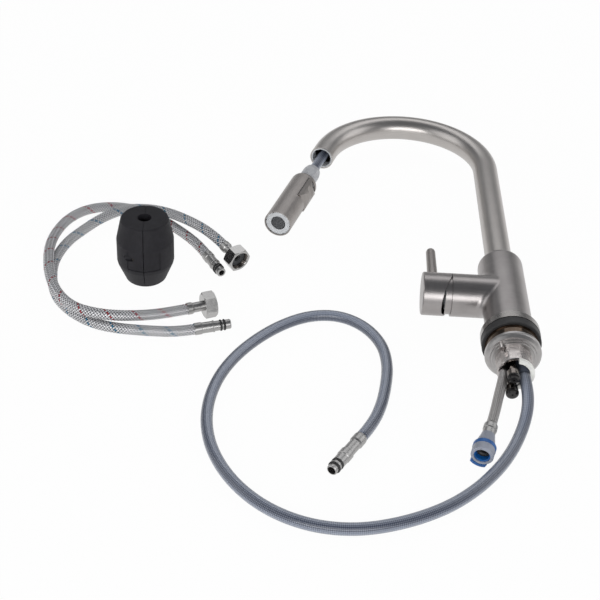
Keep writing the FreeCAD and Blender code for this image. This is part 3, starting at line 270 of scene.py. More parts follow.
# stainless tube, bent and then brushed: its lines follow the bend, too fine to show, so it is satin with an even grain
steelSpout = brushedSteel(
    "brushedSteelSpout", evenGrain, light="#B9B5B2", dark="#AEAAA7", smooth=0.33, rough=0.36, reliefMm=0.0008)
# thin stainless sleeve of the spray head, brushed harder: the dullest steel of the tap
steelHead = brushedSteel("brushedSteelHead", roundBody, light="#ACA7A4", dark="#96918E", smooth=0.38, rough=0.45)
# the same brushed stainless on the rocker and the lever: nearly as dull as the head, and a shade darker
steelButton = brushedSteel("brushedSteelButton", roundBody, light="#A5A09D", dark="#908B88", smooth=0.36, rough=0.44)
# nickel plate over turned brass: neutral and half bright
nickel = tooledMetal("nickelPlate", "#ABAAA9", "#9F9E9D", 0.34, 0.38)
# turned steel, polished to a near-mirror band: its brown colour is a painted reflection of the warm tones that it
# mirrors
steelWasher = tooledMetal("turnedWasher", "#62564C", "#50463E", 0.14, 0.18)
# nickel plate over a polished thread: the brightest metal here
polishedNickel = tooledMetal("polishedNickel", "#B9B4B2", "#ADA8A6", 0.13, 0.17)
# black nickel plate over brass: smoky, with sharp reflections; on the threads inside the union nuts its dark colour is
# painted shade
darkNickel = tooledMetal("blackNickelAndNutShade", "#7B7571", "#68625E", 0.16, 0.2)
# black oxide on steel: nearly black and matt
blackOxide = tooledMetal("blackOxideScrew", "#3A3836", "#2E2C2B", 0.4, 0.46)
# nickel plate over pressed brass: the union nuts' flats mirror the room softly
platedFitting = tooledMetal("platedFitting", "#AFAEAD", "#A09F9E", 0.2, 0.25)
# die-cast zinc with a thin plate: pale, with a soft sheen
castClamp = tooledMetal("castClamp", "#ADABAA", "#A09E9D", 0.3, 0.34)
# turned stainless steel ring: satin, a shade darker than the body
steelRing = tooledMetal("turnedSteelRing", "#9A9795", "#8E8B89", 0.24, 0.28)
# drawn stainless wire of the spray screen: grey threads over the dark nozzle
screenWire = tooledMetal("screenWire", "#8E8F92", "#7F8083", 0.3, 0.34)
# polyethylene plug from a polished mould: black and glossy
capPlastic = moulded("glossyBlackPlug", "#1B1919", "#0E0D0D", 0.14, pebbleMm=2.0)
# nitrile rubber cut from sheet: dark grey and matt
washerRubber = moulded("greyNitrile", "#4E4F52", "#3D3E40", 0.5)
# nitrile rubber, moulded: black, with a soft sheen on its edges
blackRubber = moulded("nitrileRubber", "#2B2A2B", "#1B1B1C", 0.5)
# vinyl that the cast halves are dipped in: matt black with a fine pebble
weightCoat = moulded("dippedVinyl", "#232227", "#1B1A1E", 0.6, pebbleMm=0.8, reliefMm=0.05, gloss=0.28)
# acetal, moulded: warm white with a low gloss
whitePlastic = moulded("acetal", "#F1F1EC", "#E4E4DF", 0.35)
# ABS, moulded: pale cool grey with a low gloss
palePlastic = moulded("paleGreyAbs", "#D6D8DA", "#C8CACD", 0.4)
# ABS in a darker grey: the collar between the hose and the head
collarPlastic = moulded("greyAbsCollar", "#BFC0C3", "#ABACB0", 0.36)
# nylon, moulded: blue grey and a little dull
greyPlastic = moulded("greyNylon", "#9DA2AF", "#8B909C", 0.4)
# acetal dyed through: strong blue with a low gloss
bluePlastic = moulded("blueAcetal", "#1260A8", "#0C4E8E", 0.38)
# dark acetal of the spray nozzle: nearly black behind its screen
aeratorPlastic = moulded("darkAcetal", "#3A3B3E", "#2C2D30", 0.45)
# the pull-out hose inside the tap: its braid is too far in to make out, so only its mean colour is left
hoseStub = moulded("polyesterBraidInside", "#6E7482", "#5C6270", 0.36)
# rubber tube under the supply braid: a dark, matt grey between the strands
innerTube = moulded("greyRubberTube", "#26262A", "#1A1A1D", 0.6, gloss=0.2)

# crossings are the strands that go round the hose each way: fewer and wider than real, so that they show
# stripes is how many lengthwise light and dark lines run round the hose in its colour, as strong as lineShare
pullLook = {
    "light": "#9299A8", "dark": "#3C4252", "rough": 0.34, "metallic": 0.0, "coat": 0.5, "coatRough": 0.18,
    "crossings": 10, "pitchMm": 3.4, "reliefMm": 0.16, "stripes": 3, "lineShare": 0.45,
}
outletLook = {
    **pullLook, "light": "#B9B6B4", "dark": "#6F6C6B", "rough": 0.36, "metallic": 0.6,
    "crossings": 9, "reliefMm": 0.25, "lineShare": 0.22,
}


def strandWave(tree, around, ahead, slope, crossings, pitch):
    # sine of one family of strands that wind round the hose
    turned = put(tree, "ShaderNodeMath", {0: ahead, 1: slope / pitch}, operation="MULTIPLY")
    total = put(tree, "ShaderNodeMath", {0: around, 1: crossings, 2: turned}, operation="MULTIPLY_ADD")
    angle = put(tree, "ShaderNodeMath", {0: total, 1: fullTurn}, operation="MULTIPLY")
    return put(tree, "ShaderNodeMath", {0: angle}, operation="SINE")


def braided(name, look):
    # read from the hose's own map: X round the hose from 0 to 1, Y along it in metres
    material, tree = newMaterial(name)
    at = put(tree, "ShaderNodeTexCoord")
    split = put(tree, "ShaderNodeSeparateXYZ", {0: at.outputs["UV"]})
    around, ahead = split.outputs["X"], split.outputs["Y"]
    pitch = look["pitchMm"] / 1000
    left, right = (strandWave(tree, around, ahead, slope, look["crossings"], pitch) for slope in (1, -1))
    woven = put(tree, "ShaderNodeMath", {0: left, 1: right}, operation="MULTIPLY")
    height = put(tree, "ShaderNodeMapRange", {"Value": woven, "From Min": -1.0, "From Max": 1.0})
    line = strandWave(tree, around, ahead, 0, look["stripes"], 1.0)
    # the colour follows the weave's height: painted shade in its hollows and a painted highlight on its crossings, with
    # the lengthwise lines on top
    share = put(tree, "ShaderNodeMath", {0: line, 1: look["lineShare"], 2: height}, operation="MULTIPLY_ADD")
    return addShader(material, {
        "Metallic": look["metallic"], "Roughness": look["rough"], "Coat Weight": look["coat"],
        "Coat Roughness": look["coatRough"], **shaded(tree, look, share, height)})


# polyester yarn braided over a dark tube and sealed under a clear skin: blue grey, with a wet gloss; the hollows of its
# weave are painted shade and its crossings painted highlight
pullBraid = braided("polyesterBraid", pullLook)
# fine stainless wire braided over a tube, under a clear skin: grey with a metal sheen; the hollows of its weave are
# painted shade and its crossings painted highlight
outletBraid = braided("outletBraid", outletLook)

# a flat strand of drawn wires side by side: painted shade darkens it towards its edges and its middle is painted
# lighter, and each wire stands up as a ridge of relief
# a real strand has more and finer wires, and these 4 are drawn coarser so that they show
strandLook = {"wires": 4, "reliefMm": 0.05, "edgeShade": 0.7}


def wireStrand(name, light, dark, rough, metallic):
    # read from the strand's own map, whose Y runs across it
    look = {**strandLook, "light": light, "dark": dark}
    material, tree = newMaterial(name)
    at = put(tree, "ShaderNodeUVMap", uv_map="strandMap")
    across = put(tree, "ShaderNodeSeparateXYZ", {0: at}).outputs["Y"]
    waves = []
    # the first wave is painted shade at the strand's edges and painted light in its middle; the second stands each wire
    # up as relief
    for count, deepest in ((1, look["edgeShade"]), (look["wires"], 1.0)):
        angle = put(tree, "ShaderNodeMath", {0: across, 1: fullTurn * count}, operation="MULTIPLY")
        wave = put(tree, "ShaderNodeMath", {0: angle}, operation="COSINE")
        waves.append(put(tree, "ShaderNodeMapRange", {"Value": wave, "From Min": deepest, "From Max": -deepest}))
    return addShader(material, {"Metallic": metallic, "Roughness": rough, **shaded(tree, look, *waves)})


# bright drawn stainless wire: nearly white in the middle, with painted shade at each strand's edges beside the dark
# gaps between the strands
steelWire = wireStrand("stainlessWire", "#E6E6E8", "#47474B", 0.34, 0.5)
# nylon yarn, dyed: the strand that marks the hot hose, and the one that marks the cold hose; the darker colour at their
# edges is painted shade
redWire = wireStrand("redNylonStrand", "#A3202E", "#4A0D15", 0.45, 0.0)
blueWire = wireStrand("blueNylonStrand", "#0F7096", "#0A3F55", 0.45, 0.0)

# each finish, and the nodes that have it
finishes = {
    steelBody: ["body_shell"],
    steelRing: ["base_ring"],
    steelBranch: ["handle_sleeve", "handle_cap"],
    steelSpout: ["spout_tube"],
    steelHead: ["head_shell"],
    steelButton: ["spray_button", "lever_pin"],
    polishedNickel: ["threaded_shank", "jack_screws"],
    nickel: [
        "outlet_tail", "outlet_ferrule", "pull_hose_ferrule", "pull_hose_plug", "supply_red_ferrule", "supply_red_tail",
        "supply_blue_ferrule", "supply_blue_tail", "button_pin", "cartridge_nut", "spout_collar", "valve_core"],
    platedFitting: ["supply_red_nut", "supply_blue_nut"],
    steelWasher: ["steel_washer", "spacer_ring"],
    darkNickel: ["inlet_tail_hot", "inlet_tail_cold"],
    blackOxide: ["weight_screws", "cartridge_stem"],
    capPlastic: ["inlet_cap_hot", "inlet_cap_cold"],
    washerRubber: ["supply_red_washer", "supply_blue_washer"],
    castClamp: ["clamp_nut"],
    blackRubber: ["base_gasket", "pull_hose_rings", "supply_red_rings", "supply_blue_rings"],
    weightCoat: ["weight_half_left", "weight_half_right"],
    whitePlastic: ["hose_guide", "cartridge_body", "glide_ring_low", "glide_ring_high"],
    palePlastic: ["mouth_bush", "face_ring", "cartridge_dome"],
    collarPlastic: ["head_core"],
    greyPlastic: ["outlet_socket"],
    bluePlastic: ["outlet_clip"],
    aeratorPlastic: ["aerator"],
    hoseStub: ["pull_hose_body", "pull_hose_spout"],
}
for material, names in finishes.items():
    for name in names:
        mesh = nodes[name].data
        mesh.materials.clear()
        mesh.materials.append(material)
print("materials on", sum(len(names) for names in finishes.values()), "nodes")

# what repeats


def newGrowth(name, inputs):
    # geometry tree with named inputs: each is a word, the kind of its socket and a first value
    tree = bpy.data.node_groups.new(name, "GeometryNodeTree")
    tree.is_modifier = True
    tree.interface.new_socket("Geometry", in_out="INPUT", socket_type="NodeSocketGeometry")
    for word, kind, value in inputs:
        socket = tree.interface.new_socket(word, in_out="INPUT", socket_type="NodeSocket" + kind)
        if value is not None:
            socket.default_value = value
    tree.interface.new_socket("Geometry", in_out="OUTPUT", socket_type="NodeSocketGeometry")
    return tree, put(tree, "NodeGroupInput").outputs


def grown(name, tree, values, base=None):
    # the tree's result on a base mesh, as a plain mesh of its own
    holder = bpy.data.objects.new(name + "Holder", base or bpy.data.meshes.new(name + "Base"))
    scene.collection.objects.link(holder)
    modifier = holder.modifiers.new(name, "NODES")
    modifier.node_group = tree
    for item in tree.interface.items_tree:
        if item.in_out == "INPUT" and item.name in values:
            modifier[item.identifier] = values[item.name]
    seen = holder.evaluated_get(bpy.context.evaluated_depsgraph_get())
    mesh = bpy.data.meshes.new_from_object(seen)
    bpy.data.objects.remove(holder)
    piece = bpy.data.objects.new(name, mesh)
    scene.collection.objects.link(piece)
    print(name, len(mesh.polygons), "faces")
    return piece


def finishGrowth(tree, given, made):
    # what was made goes to its place and gets its material
    placed = put(tree, "GeometryNodeTransform", {
        "Geometry": made, "Rotation": given["Turn"], "Translation": given["Place"]})
    whole = put(tree, "GeometryNodeRealizeInstances", {0: placed})
    done = put(tree, "GeometryNodeSetMaterial", {"Geometry": whole, "Material": given["Finish"]})
    put(tree, "NodeGroupOutput", {0: done})


# hoses: each route's points are its spline's control points, in metres

pullHose = {
    "name": "pullOutHose", "node": "pull_hose_loop", "radius": 0.00565, "length": 0.918, "material": pullBraid,
    "farEnd": "connector", "stiffness": "medium", "slot": "hose_grey",
    "onIt": ["pull_hose_ferrule", "pull_hose_plug", "pull_hose_rings"],
    "route": [
        (0.194, -0.23365, 0.0293), (0.1958, -0.2505, 0.0274), (0.1959, -0.266, 0.0195), (0.1924, -0.2805, 0.0115),
        (0.186, -0.297, 0.0066), (0.177, -0.317, 0.0058), (0.164, -0.3395, 0.0058), (0.1435, -0.366, 0.0058),
        (0.116, -0.391, 0.0058), (0.079, -0.4115, 0.0058), (0.038, -0.4235, 0.0058), (-0.002, -0.421, 0.0058),
        (-0.0385, -0.4045, 0.0058), (-0.068, -0.377, 0.0058), (-0.089, -0.342, 0.0058), (-0.1, -0.303, 0.0058),
        (-0.1005, -0.262, 0.0058), (-0.091, -0.221, 0.0058), (-0.0715, -0.183, 0.0058), (-0.043, -0.1485, 0.0058),
        (-0.012, -0.127, 0.0058), (0.019, -0.1235, 0.0058), (0.0455, -0.139, 0.0058), (0.063, -0.1675, 0.0058),
        (0.068, -0.201, 0.0058), (0.0655, -0.234, 0.0058), (0.0605, -0.264, 0.006), (0.0517, -0.2909, 0.0066),
        (0.0418, -0.3083, 0.0066)],
}
redHose = {
    "name": "redMarkedHose", "node": "supply_red_hose", "radius": 0.0056, "length": 0.521, "material": innerTube,
    "tracer": redWire, "farEnd": "fitting", "stiffness": "medium", "slot": "steel_braid",
    "onIt": ["supply_red_ferrule", "supply_red_nut", "supply_red_washer", "supply_red_tail", "supply_red_rings"],
    "route": [
        (-0.1349, -0.1359, 0.0121), (-0.1477, -0.1416, 0.012), (-0.1722, -0.1498, 0.0119), (-0.1995, -0.1583, 0.0156),
        (-0.2225, -0.1615, 0.0192), (-0.2465, -0.1536, 0.0192), (-0.2665, -0.1325, 0.0192), (-0.2791, -0.1049, 0.0194),
        (-0.2865, -0.0785, 0.0198), (-0.293, -0.039, 0.0152), (-0.293, 0.002, 0.0074), (-0.2846, 0.0315, 0.0059),
        (-0.2675, 0.0515, 0.0059), (-0.242, 0.0598, 0.0059), (-0.2146, 0.0565, 0.0059), (-0.1915, 0.0452, 0.0059),
        (-0.1706, 0.0281, 0.0059), (-0.1498, 0.0073, 0.0059), (-0.1349, -0.0111, 0.0061), (-0.1246, -0.0291, 0.0064)],
}
blueHose = {
    "name": "blueMarkedHose", "node": "supply_blue_hose", "radius": 0.0056, "length": 0.487, "material": innerTube,
    "tracer": blueWire, "farEnd": "fitting", "stiffness": "medium", "slot": "steel_braid",
    "onIt": ["supply_blue_ferrule", "supply_blue_nut", "supply_blue_washer", "supply_blue_tail", "supply_blue_rings"],
    "route": [
        (-0.1248, -0.1612, 0.0063), (-0.1417, -0.1666, 0.0058), (-0.1706, -0.1674, 0.0058), (-0.1984, -0.1665, 0.0058),
        (-0.2234, -0.1614, 0.0058), (-0.2487, -0.1462, 0.0058), (-0.2695, -0.1224, 0.0058), (-0.2798, -0.0957, 0.0058),
        (-0.2851, -0.0678, 0.0058), (-0.2846, -0.0456, 0.0058), (-0.2785, -0.0172, 0.0058), (-0.2649, 0.0062, 0.0072),
        (-0.2457, 0.0245, 0.0134), (-0.2229, 0.0366, 0.018), (-0.1975, 0.04, 0.0182), (-0.1733, 0.0341, 0.0182),
        (-0.1503, 0.0203, 0.0182), (-0.1325, 0.0045, 0.0194), (-0.1172, -0.0107, 0.0183), (-0.1065, -0.0237, 0.0164)],
}
outletHose = {
    "name": "outletHose", "node": "outlet_hose", "radius": 0.0049, "length": 0.065, "material": outletBraid,
    "farEnd": "connector", "stiffness": "medium", "slot": "hose_braid",
    "onIt": ["outlet_ferrule", "outlet_socket", "outlet_clip"],
    "route": [
        (0.1752, -0.23185, 0.0301), (0.1722, -0.2455, 0.028), (0.1684, -0.2595, 0.0226), (0.1646, -0.2755, 0.0177),
        (0.1596, -0.2934, 0.0167)],
}
tube = {"sides": 28, "steps": 12, "order": 3}


def splineLine(name, points):
    # the smooth line through a route, read back from its own spline
    curve = bpy.data.curves.new(name, "CURVE")
    curve.dimensions = "3D"
    spline = curve.splines.new("NURBS")
    spline.points.add(len(points) - 1)
    for point, place in zip(spline.points, points):
        point.co = (*place, 1)
    spline.order_u = tube["order"]
    spline.use_endpoint_u = True
    curve.resolution_u = tube["steps"]
    holder = bpy.data.objects.new(name, curve)
    scene.collection.objects.link(holder)
    seen = holder.evaluated_get(bpy.context.evaluated_depsgraph_get())
    mesh = bpy.data.meshes.new_from_object(seen)
    line = [v.co.copy() for v in mesh.vertices]
    bpy.data.objects.remove(holder)
    bpy.data.meshes.remove(mesh)
    return line


def hoseMesh(name, line, radius, material):
    # tube round a line, with a map: X round it from 0 to 1, Y along it in metres
    sides = tube["sides"]
    side = Vector((0, 0, 1))
    spots, places, run = [], [], 0.0
    for i, point in enumerate(line):
        ahead = (line[min(i + 1, len(line) - 1)] - line[max(i - 1, 0)]).normalized()
        side = (side - ahead * side.dot(ahead)).normalized()
        other = ahead.cross(side)
        run += (point - line[i - 1]).length if i else 0.0
        places.append(run)
        for k in range(sides):
            angle = fullTurn * k / sides
            spots.append(point + side * (radius * math.cos(angle)) + other * (radius * math.sin(angle)))
    faces, maps = [], []
    for i in range(len(line) - 1):
        here, there = places[i], places[i + 1]
        for k in range(sides):
            nextK = (k + 1) % sides
            faces.append((i * sides + k, i * sides + nextK, (i + 1) * sides + nextK, (i + 1) * sides + k))
            maps.append([(k / sides, here), ((k + 1) / sides, here), ((k + 1) / sides, there), (k / sides, there)])
    ends = len(faces)
    faces.append(tuple(reversed(range(sides))))
    faces.append(tuple(range(len(spots) - sides, len(spots))))
    mesh = bpy.data.meshes.new(name)
    mesh.from_pydata([tuple(s) for s in spots], [], faces)
    layer = mesh.uv_layers.new(name="hoseMap")
    for number, corners in enumerate(maps):
        for corner, place in zip(mesh.polygons[number].loop_indices, corners):
            layer.data[corner].uv = place
    for polygon in mesh.polygons:
        polygon.use_smooth = polygon.index < ends
    mesh.materials.append(material)
    piece = bpy.data.objects.new(name, mesh)
    scene.collection.objects.link(piece)
    return piece


# braid of the supply hoses: flat strands that pass over and under each other in turn
# the real braid has more and finer strands each way, and these are as fine as shows
braid = {
    "strands": 9, "lay": 0.028, "width": 0.002, "lift": 0.00024, "crown": 0.00032, "rowsPerMetre": 1500,
    "start": -math.pi / 2,  # the coloured strand starts on top of the hose
    "coloured": 1,  # the family that the coloured strand is in
    "cover": 0.00062,  # how far the tube lies under the braid
}
# how a point of a strand finds its place: each step has a name, what it does and what it works on
braidSteps = [
    ("fromEnd", "ADD", "x", 0.5),
    ("run", "MULTIPLY", "fromEnd", "length"),
    ("across", "MULTIPLY", "y", "Width"),
    # round the hose: the strand's own start, its winding and its width
    ("share", "DIVIDE", "own", "Strands"),
    ("lays", "DIVIDE", "run", "Lay"),
    ("wound", "MULTIPLY_ADD", "lays", "slope", "share"),
    ("narrowed", "MULTIPLY", "across", "leanCosine"),
    ("sideways", "DIVIDE", "narrowed", "Radius"),
    ("turned", "MULTIPLY_ADD", "wound", fullTurn, "sideways"),
    ("angle", "ADD", "turned", "Start"),
    ("slid", "MULTIPLY", "across", "leanSine"),
    ("shift", "MULTIPLY", "slid", "back"),
    ("place", "ADD", "run", "shift"),
    # over and under
    ("crossings", "MULTIPLY", "run", "Strands"),
    ("beats", "DIVIDE", "crossings", "Lay"),
    ("beat", "MULTIPLY", "beats", fullTurn),
    ("wave", "COSINE", "beat"),
    ("raised", "MULTIPLY", "wave", "Lift"),
    ("weave", "MULTIPLY", "raised", "slope"),
    # arched across its width: y runs from -0.5 to 0.5, so that edge is 1 at both sides
    ("square", "MULTIPLY", "y", "y"),
    ("edge", "MULTIPLY", "square", 4.0),
    ("middle", "SUBTRACT", 1.0, "edge"),
    ("crown", "MULTIPLY", "middle", "Crown"),
    ("woven", "ADD", "Radius", "weave"),
    ("out", "ADD", "woven", "crown"),
    ("cosine", "COSINE", "angle"),
    ("sine", "SINE", "angle"),
    ("upwards", "MULTIPLY", "cosine", "out"),
    ("aside", "MULTIPLY", "sine", "out"),
]


def makeBraidTree():
    tree, given = newGrowth("wovenBraid", [
        ("Radius", "Float", 0.0056), ("Strands", "Int", 10), ("Lay", "Float", 0.024), ("Width", "Float", 0.0018),
        ("Lift", "Float", 0.00013), ("Crown", "Float", 0.0001), ("Rows", "Int", 900), ("Start", "Float", 0.0),
        ("Wire", "Material", None), ("Tracer", "Material", None)])
    line = put(tree, "GeometryNodeMeshToCurve", {"Mesh": given["Geometry"]})
    length = put(tree, "GeometryNodeCurveLength", {0: line})
    rim = put(tree, "ShaderNodeMath", {0: given["Radius"], 1: fullTurn}, operation="MULTIPLY")
    lean = put(tree, "ShaderNodeMath", {0: rim, 1: given["Lay"]}, operation="ARCTAN2")
    leanSine = put(tree, "ShaderNodeMath", {0: lean}, operation="SINE")
    leanCosine = put(tree, "ShaderNodeMath", {0: lean}, operation="COSINE")
    families = []
    for slope in (1, -1):
        strip = put(tree, "GeometryNodeMeshGrid", {
            "Size X": 1.0, "Size Y": 1.0, "Vertices X": given["Rows"], "Vertices Y": 3})
        stripMap = put(
            tree, "GeometryNodeStoreNamedAttribute",
            {"Geometry": strip, "Name": "strandMap", "Value": strip.outputs["UV Map"]},
            data_type="FLOAT2", domain="CORNER")
        single = put(tree, "GeometryNodeGeometryToInstance", {0: stripMap})
        many = put(tree, "GeometryNodeDuplicateElements", {
            "Geometry": single, "Amount": given["Strands"]}, domain="INSTANCE")
        marked = put(
            tree, "GeometryNodeStoreNamedAttribute",
            {"Geometry": many, "Name": "strand", "Value": many.outputs["Duplicate Index"]},
            data_type="INT", domain="INSTANCE")
        loose = put(tree, "GeometryNodeRealizeInstances", {0: marked})
        own = put(tree, "GeometryNodeInputNamedAttribute", {"Name": "strand"}, data_type="INT")
        at = put(tree, "ShaderNodeSeparateXYZ", {0: put(tree, "GeometryNodeInputPosition")})
        known = {
            "x": at.outputs["X"], "y": at.outputs["Y"], "own": own, "length": length, "slope": slope, "back": -slope,
            "leanSine": leanSine, "leanCosine": leanCosine, **{socket.name: socket for socket in given if socket.name}}
        for name, operation, *parts in braidSteps:
            inputs = {i: known.get(part, part) for i, part in enumerate(parts)}
            known[name] = put(tree, "ShaderNodeMath", inputs, operation=operation)
        spot = put(tree, "GeometryNodeSampleCurve", {"Curves": line, "Length": known["place"]}, mode="LENGTH")
        centre, ahead, normal = (spot.outputs[word] for word in ("Position", "Tangent", "Normal"))
        side = put(tree, "ShaderNodeVectorMath", {0: ahead, 1: normal}, operation="CROSS_PRODUCT")
        first = put(tree, "ShaderNodeVectorMath", {0: normal, "Scale": known["upwards"]}, operation="SCALE")
        second = put(tree, "ShaderNodeVectorMath", {0: side, "Scale": known["aside"]}, operation="SCALE")
        both = put(tree, "ShaderNodeVectorMath", {0: first, 1: second}, operation="ADD")
        lifted = put(tree, "ShaderNodeVectorMath", {0: centre, 1: both}, operation="ADD")
        moved = put(tree, "GeometryNodeSetPosition", {"Geometry": loose, "Position": lifted})
        # only one strand of one family is coloured
        coloured = False
        if slope == braid["coloured"]:
            coloured = put(tree, "FunctionNodeCompare", {2: own, 3: 0}, data_type="INT", operation="EQUAL")
        families.append(put(tree, "GeometryNodeStoreNamedAttribute", {
            "Geometry": moved, "Name": "coloured", "Value": coloured}, data_type="BOOLEAN", domain="FACE"))
    joined = put(tree, "GeometryNodeJoinGeometry", {0: families[0]})
    tree.links.new(families[1].outputs[0], joined.inputs[0])
    smooth = put(tree, "GeometryNodeSetShadeSmooth", {"Geometry": joined})
    whole = put(tree, "GeometryNodeRealizeInstances", {0: smooth})
    wire = put(tree, "GeometryNodeSetMaterial", {"Geometry": whole, "Material": given["Wire"]})
    picked = put(tree, "GeometryNodeInputNamedAttribute", {"Name": "coloured"}, data_type="BOOLEAN")
    done = put(tree, "GeometryNodeSetMaterial", {"Geometry": wire, "Selection": picked, "Material": given["Tracer"]})
    put(tree, "NodeGroupOutput", {0: done})
    return tree


braidTree = makeBraidTree()


def makeBraid(hose, line):
    route = bpy.data.meshes.new(hose["name"] + "Route")
    route.from_pydata([tuple(p) for p in line], [(i, i + 1) for i in range(len(line) - 1)], [])
    piece = grown(hose["name"] + "Braid", braidTree, {
        "Radius": hose["radius"] - braid["lift"] - braid["crown"], "Strands": braid["strands"], "Lay": braid["lay"],
        "Width": braid["width"], "Lift": braid["lift"], "Crown": braid["crown"],
        "Rows": int(braid["rowsPerMetre"] * hose["length"]), "Start": braid["start"],
        "Wire": steelWire, "Tracer": hose["tracer"]}, route)
    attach(piece, "tap_body")
    return piece


def makeHose(hose):
    line = splineLine(hose["name"] + "Line", hose["route"])
    onIt = [nodes[n] for n in hose["onIt"]]
    cover = 0
    if "tracer" in hose:
        onIt.append(makeBraid(hose, line))
        cover = braid["cover"]
    piece = hoseMesh(hose["name"], line, hose["radius"] - cover, hose["material"])
    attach(piece, "tap_body")
    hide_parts(hose["node"])


for hose in (pullHose, redHose, blueHose, outletHose):
    makeHose(hose)
print("hoses laid")

# the stretch inside the spout's mouth follows the bend, then the spray head
reach = {
    "radius": 0.00565, "bend": 0.096, "riserX": 0.1864, "bendY": 0.14525, "height": 0.0293,
    "from": 137.45, "to": 163.5, "out": 0.0564, "rows": 26,  # degrees round the bend, then metres on
}
mouthSlope = math.radians(180 - reach["to"])
mouthAhead = Vector((-math.sin(mouthSlope), -math.cos(mouthSlope), 0))


def makeReach():
    line = []
    for i in range(reach["rows"] + 1):
        angle = math.radians(reach["from"] + (reach["to"] - reach["from"]) * i / reach["rows"])
        x = reach["riserX"] - reach["bend"] * (1 - math.cos(angle))
        line.append(Vector((x, reach["bendY"] + reach["bend"] * math.sin(angle), reach["height"])))
    last = line[-1].copy()
    line += [last + mouthAhead * (reach["out"] * i / reach["rows"]) for i in range(1, reach["rows"] + 1)]
    piece = hoseMesh("hoseInSpout", line, reach["radius"], pullBraid)
    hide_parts("pull_hose_reach")
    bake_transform(piece)


makeReach()
print("hose in the spout made")

# threads: ridges in metres; a place is on the axis, and ahead is the way that the thread runs

threads = {
    "shankThread": dict(
        radius=0.01725, pitch=0.0015, turns=12.0, depth=0.0003, place=(0.1864, -0.22955, 0.0293), ahead=(0, 1, 0),
        body="tap_body", slot="nickel", material=polishedNickel),
}
nutRidge = dict(radius=0.0096, pitch=0.0011, turns=3.2, depth=0.0005, past=0.0248)  # past the hose's end
ridge = {"steps": 48, "sides": 4}  # steps in a turn, and sides of the ridge's section


def makeThreadTree():
    tree, given = newGrowth("threadRidge", [
        ("Radius", "Float", 0.017), ("Pitch", "Float", 0.0015), ("Turns", "Float", 10.0), ("Depth", "Float", 0.0004),
        ("Turn", "Vector", (0, 0, 0)), ("Place", "Vector", (0, 0, 0)), ("Finish", "Material", None)])
    rise = put(tree, "ShaderNodeMath", {0: given["Pitch"], 1: given["Turns"]}, operation="MULTIPLY")
    helix = put(tree, "GeometryNodeCurveSpiral", {
        "Resolution": ridge["steps"], "Rotations": given["Turns"], "Start Radius": given["Radius"],
        "End Radius": given["Radius"], "Height": rise})
    section = put(tree, "GeometryNodeCurvePrimitiveCircle", {"Resolution": ridge["sides"], "Radius": given["Depth"]})
    solid = put(tree, "GeometryNodeCurveToMesh", {"Curve": helix, "Profile Curve": section, "Fill Caps": True})
    finishGrowth(tree, given, solid)
    return tree


threadTree = makeThreadTree()


def turnTo(ahead):
    return tuple(Vector((0, 0, 1)).rotation_difference(Vector(ahead)).to_euler())


def makeThread(name, thread):
    piece = grown(name, threadTree, {
        "Radius": thread["radius"], "Pitch": thread["pitch"], "Turns": thread["turns"], "Depth": thread["depth"],
        "Turn": turnTo(thread["ahead"]), "Place": thread["place"], "Finish": thread["material"]})
    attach(piece, thread["body"])


def nutThread(name, end, before, body):
    # inside the union nut, which sits past the hose's end
    end, before = Vector(end), Vector(before)
    ahead = (end - before).normalized()
    place = tuple(end + ahead * nutRidge["past"])
    # the thread takes the darker black nickel, not the nut's own plate: painted shade inside the nut
    threads[name] = dict(nutRidge, place=place, ahead=tuple(ahead), body=body, slot="nickel", material=darkNickel)


nutThread("redNutThread", redHose["route"][0], redHose["route"][1], "hot_nut")
nutThread("blueNutThread", blueHose["route"][-1], blueHose["route"][-2], "cold_nut")
for name, thread in threads.items():
    makeThread(name, thread)
print("threads made")

# stainless screen over the spray face, with this many wires across: coarser than the real one so that it shows
screen = {"radius": 0.0079, "wire": 0.00016, "count": 13, "sides": 6, "proud": 0.00005, "faceDepth": 0.0001}


def makeScreenTree():
    tree, given = newGrowth("sprayScreen", [
        ("Radius", "Float", 0.008), ("Wire", "Float", 0.0002), ("Count", "Int", 13),
        ("Turn", "Vector", (0, 0, 0)), ("Place", "Vector", (0, 0, 0)), ("Finish", "Material", None)])
    across = put(tree, "ShaderNodeMath", {0: given["Radius"], 1: 2.0}, operation="MULTIPLY")
    grid = put(tree, "GeometryNodeMeshGrid", {
        "Size X": across, "Size Y": across, "Vertices X": given["Count"], "Vertices Y": given["Count"]})
    here = put(tree, "GeometryNodeInputPosition")
    far = put(tree, "ShaderNodeVectorMath", {0: here}, operation="LENGTH").outputs["Value"]
    outside = put(
        tree, "FunctionNodeCompare", {0: far, 1: given["Radius"]}, data_type="FLOAT", operation="GREATER_THAN")
    kept = put(tree, "GeometryNodeDeleteGeometry", {"Geometry": grid, "Selection": outside}, domain="POINT")
    lines = put(tree, "GeometryNodeMeshToCurve", {"Mesh": kept})
    section = put(tree, "GeometryNodeCurvePrimitiveCircle", {"Resolution": screen["sides"], "Radius": given["Wire"]})
    wires = put(tree, "GeometryNodeCurveToMesh", {"Curve": lines, "Profile Curve": section, "Fill Caps": True})
    finishGrowth(tree, given, wires)
    return tree


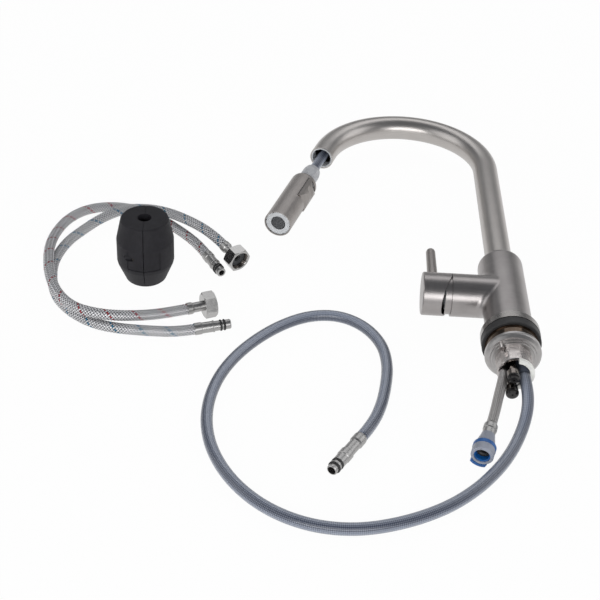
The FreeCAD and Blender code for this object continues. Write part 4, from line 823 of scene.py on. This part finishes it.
def makeScreen():
    # on the front face of the spray nozzle
    points = [v.co for v in nodes["aerator"].data.vertices]
    face = max(p.dot(mouthAhead) for p in points)
    front = [p for p in points if p.dot(mouthAhead) > face - screen["faceDepth"]]
    low, high = (Vector(pick(p[i] for p in front) for i in range(3)) for pick in (min, max))
    middle = (low + high) / 2 + mouthAhead * screen["proud"]
    piece = grown("sprayScreen", makeScreenTree(), {
        "Radius": screen["radius"], "Wire": screen["wire"], "Count": screen["count"], "Turn": turnTo(mouthAhead),
        "Place": tuple(middle), "Finish": screenWire})
    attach(piece, "head")


makeScreen()
print("spray screen made")

# turned rings inside the push-in connector: blue release sleeve, then a dark seal
lining = {
    "sides": 48, "mouth": 0.0409,  # the socket's mouth past the hose's end
    # radii and depths of each ring's section, from the mouth inwards
    "releaseSleeve": [(0.00752, 0.0012), (0.00675, 0.0012), (0.0063, 0.0018), (0.0063, 0.0066), (0.00752, 0.0066)],
    "socketSeal": [(0.00752, 0.0072), (0.0056, 0.0078), (0.0046, 0.0088), (0.0046, 0.0118), (0.00752, 0.0118)],
}


def makeRing(name, place, ahead, material):
    section, sides = lining[name], lining["sides"]
    turn = Vector((0, 0, 1)).rotation_difference(ahead).to_matrix()
    mesh = bmesh.new()
    loops = []
    for k in range(sides):
        angle = fullTurn * k / sides
        spots = [Vector((r * math.cos(angle), r * math.sin(angle), -deep)) for r, deep in section]
        loops.append([mesh.verts.new(place + turn @ spot) for spot in spots])
    for k in range(sides):
        here, there = loops[k], loops[(k + 1) % sides]
        for i in range(len(section)):
            j = (i + 1) % len(section)
            mesh.faces.new((here[i], here[j], there[j], there[i]))
    bmesh.ops.recalc_face_normals(mesh, faces=mesh.faces)
    data = bpy.data.meshes.new(name)
    mesh.to_mesh(data)
    mesh.free()
    data.materials.append(material)
    piece = bpy.data.objects.new(name, data)
    scene.collection.objects.link(piece)
    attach(piece, "tap_body")


outletEnd, outletBefore = Vector(outletHose["route"][-1]), Vector(outletHose["route"][-2])
outletAhead = (outletEnd - outletBefore).normalized()
outletMouth = outletEnd + outletAhead * lining["mouth"]
makeRing("releaseSleeve", outletMouth, outletAhead, bluePlastic)
makeRing("socketSeal", outletMouth, outletAhead, blackRubber)
print("connector lined")
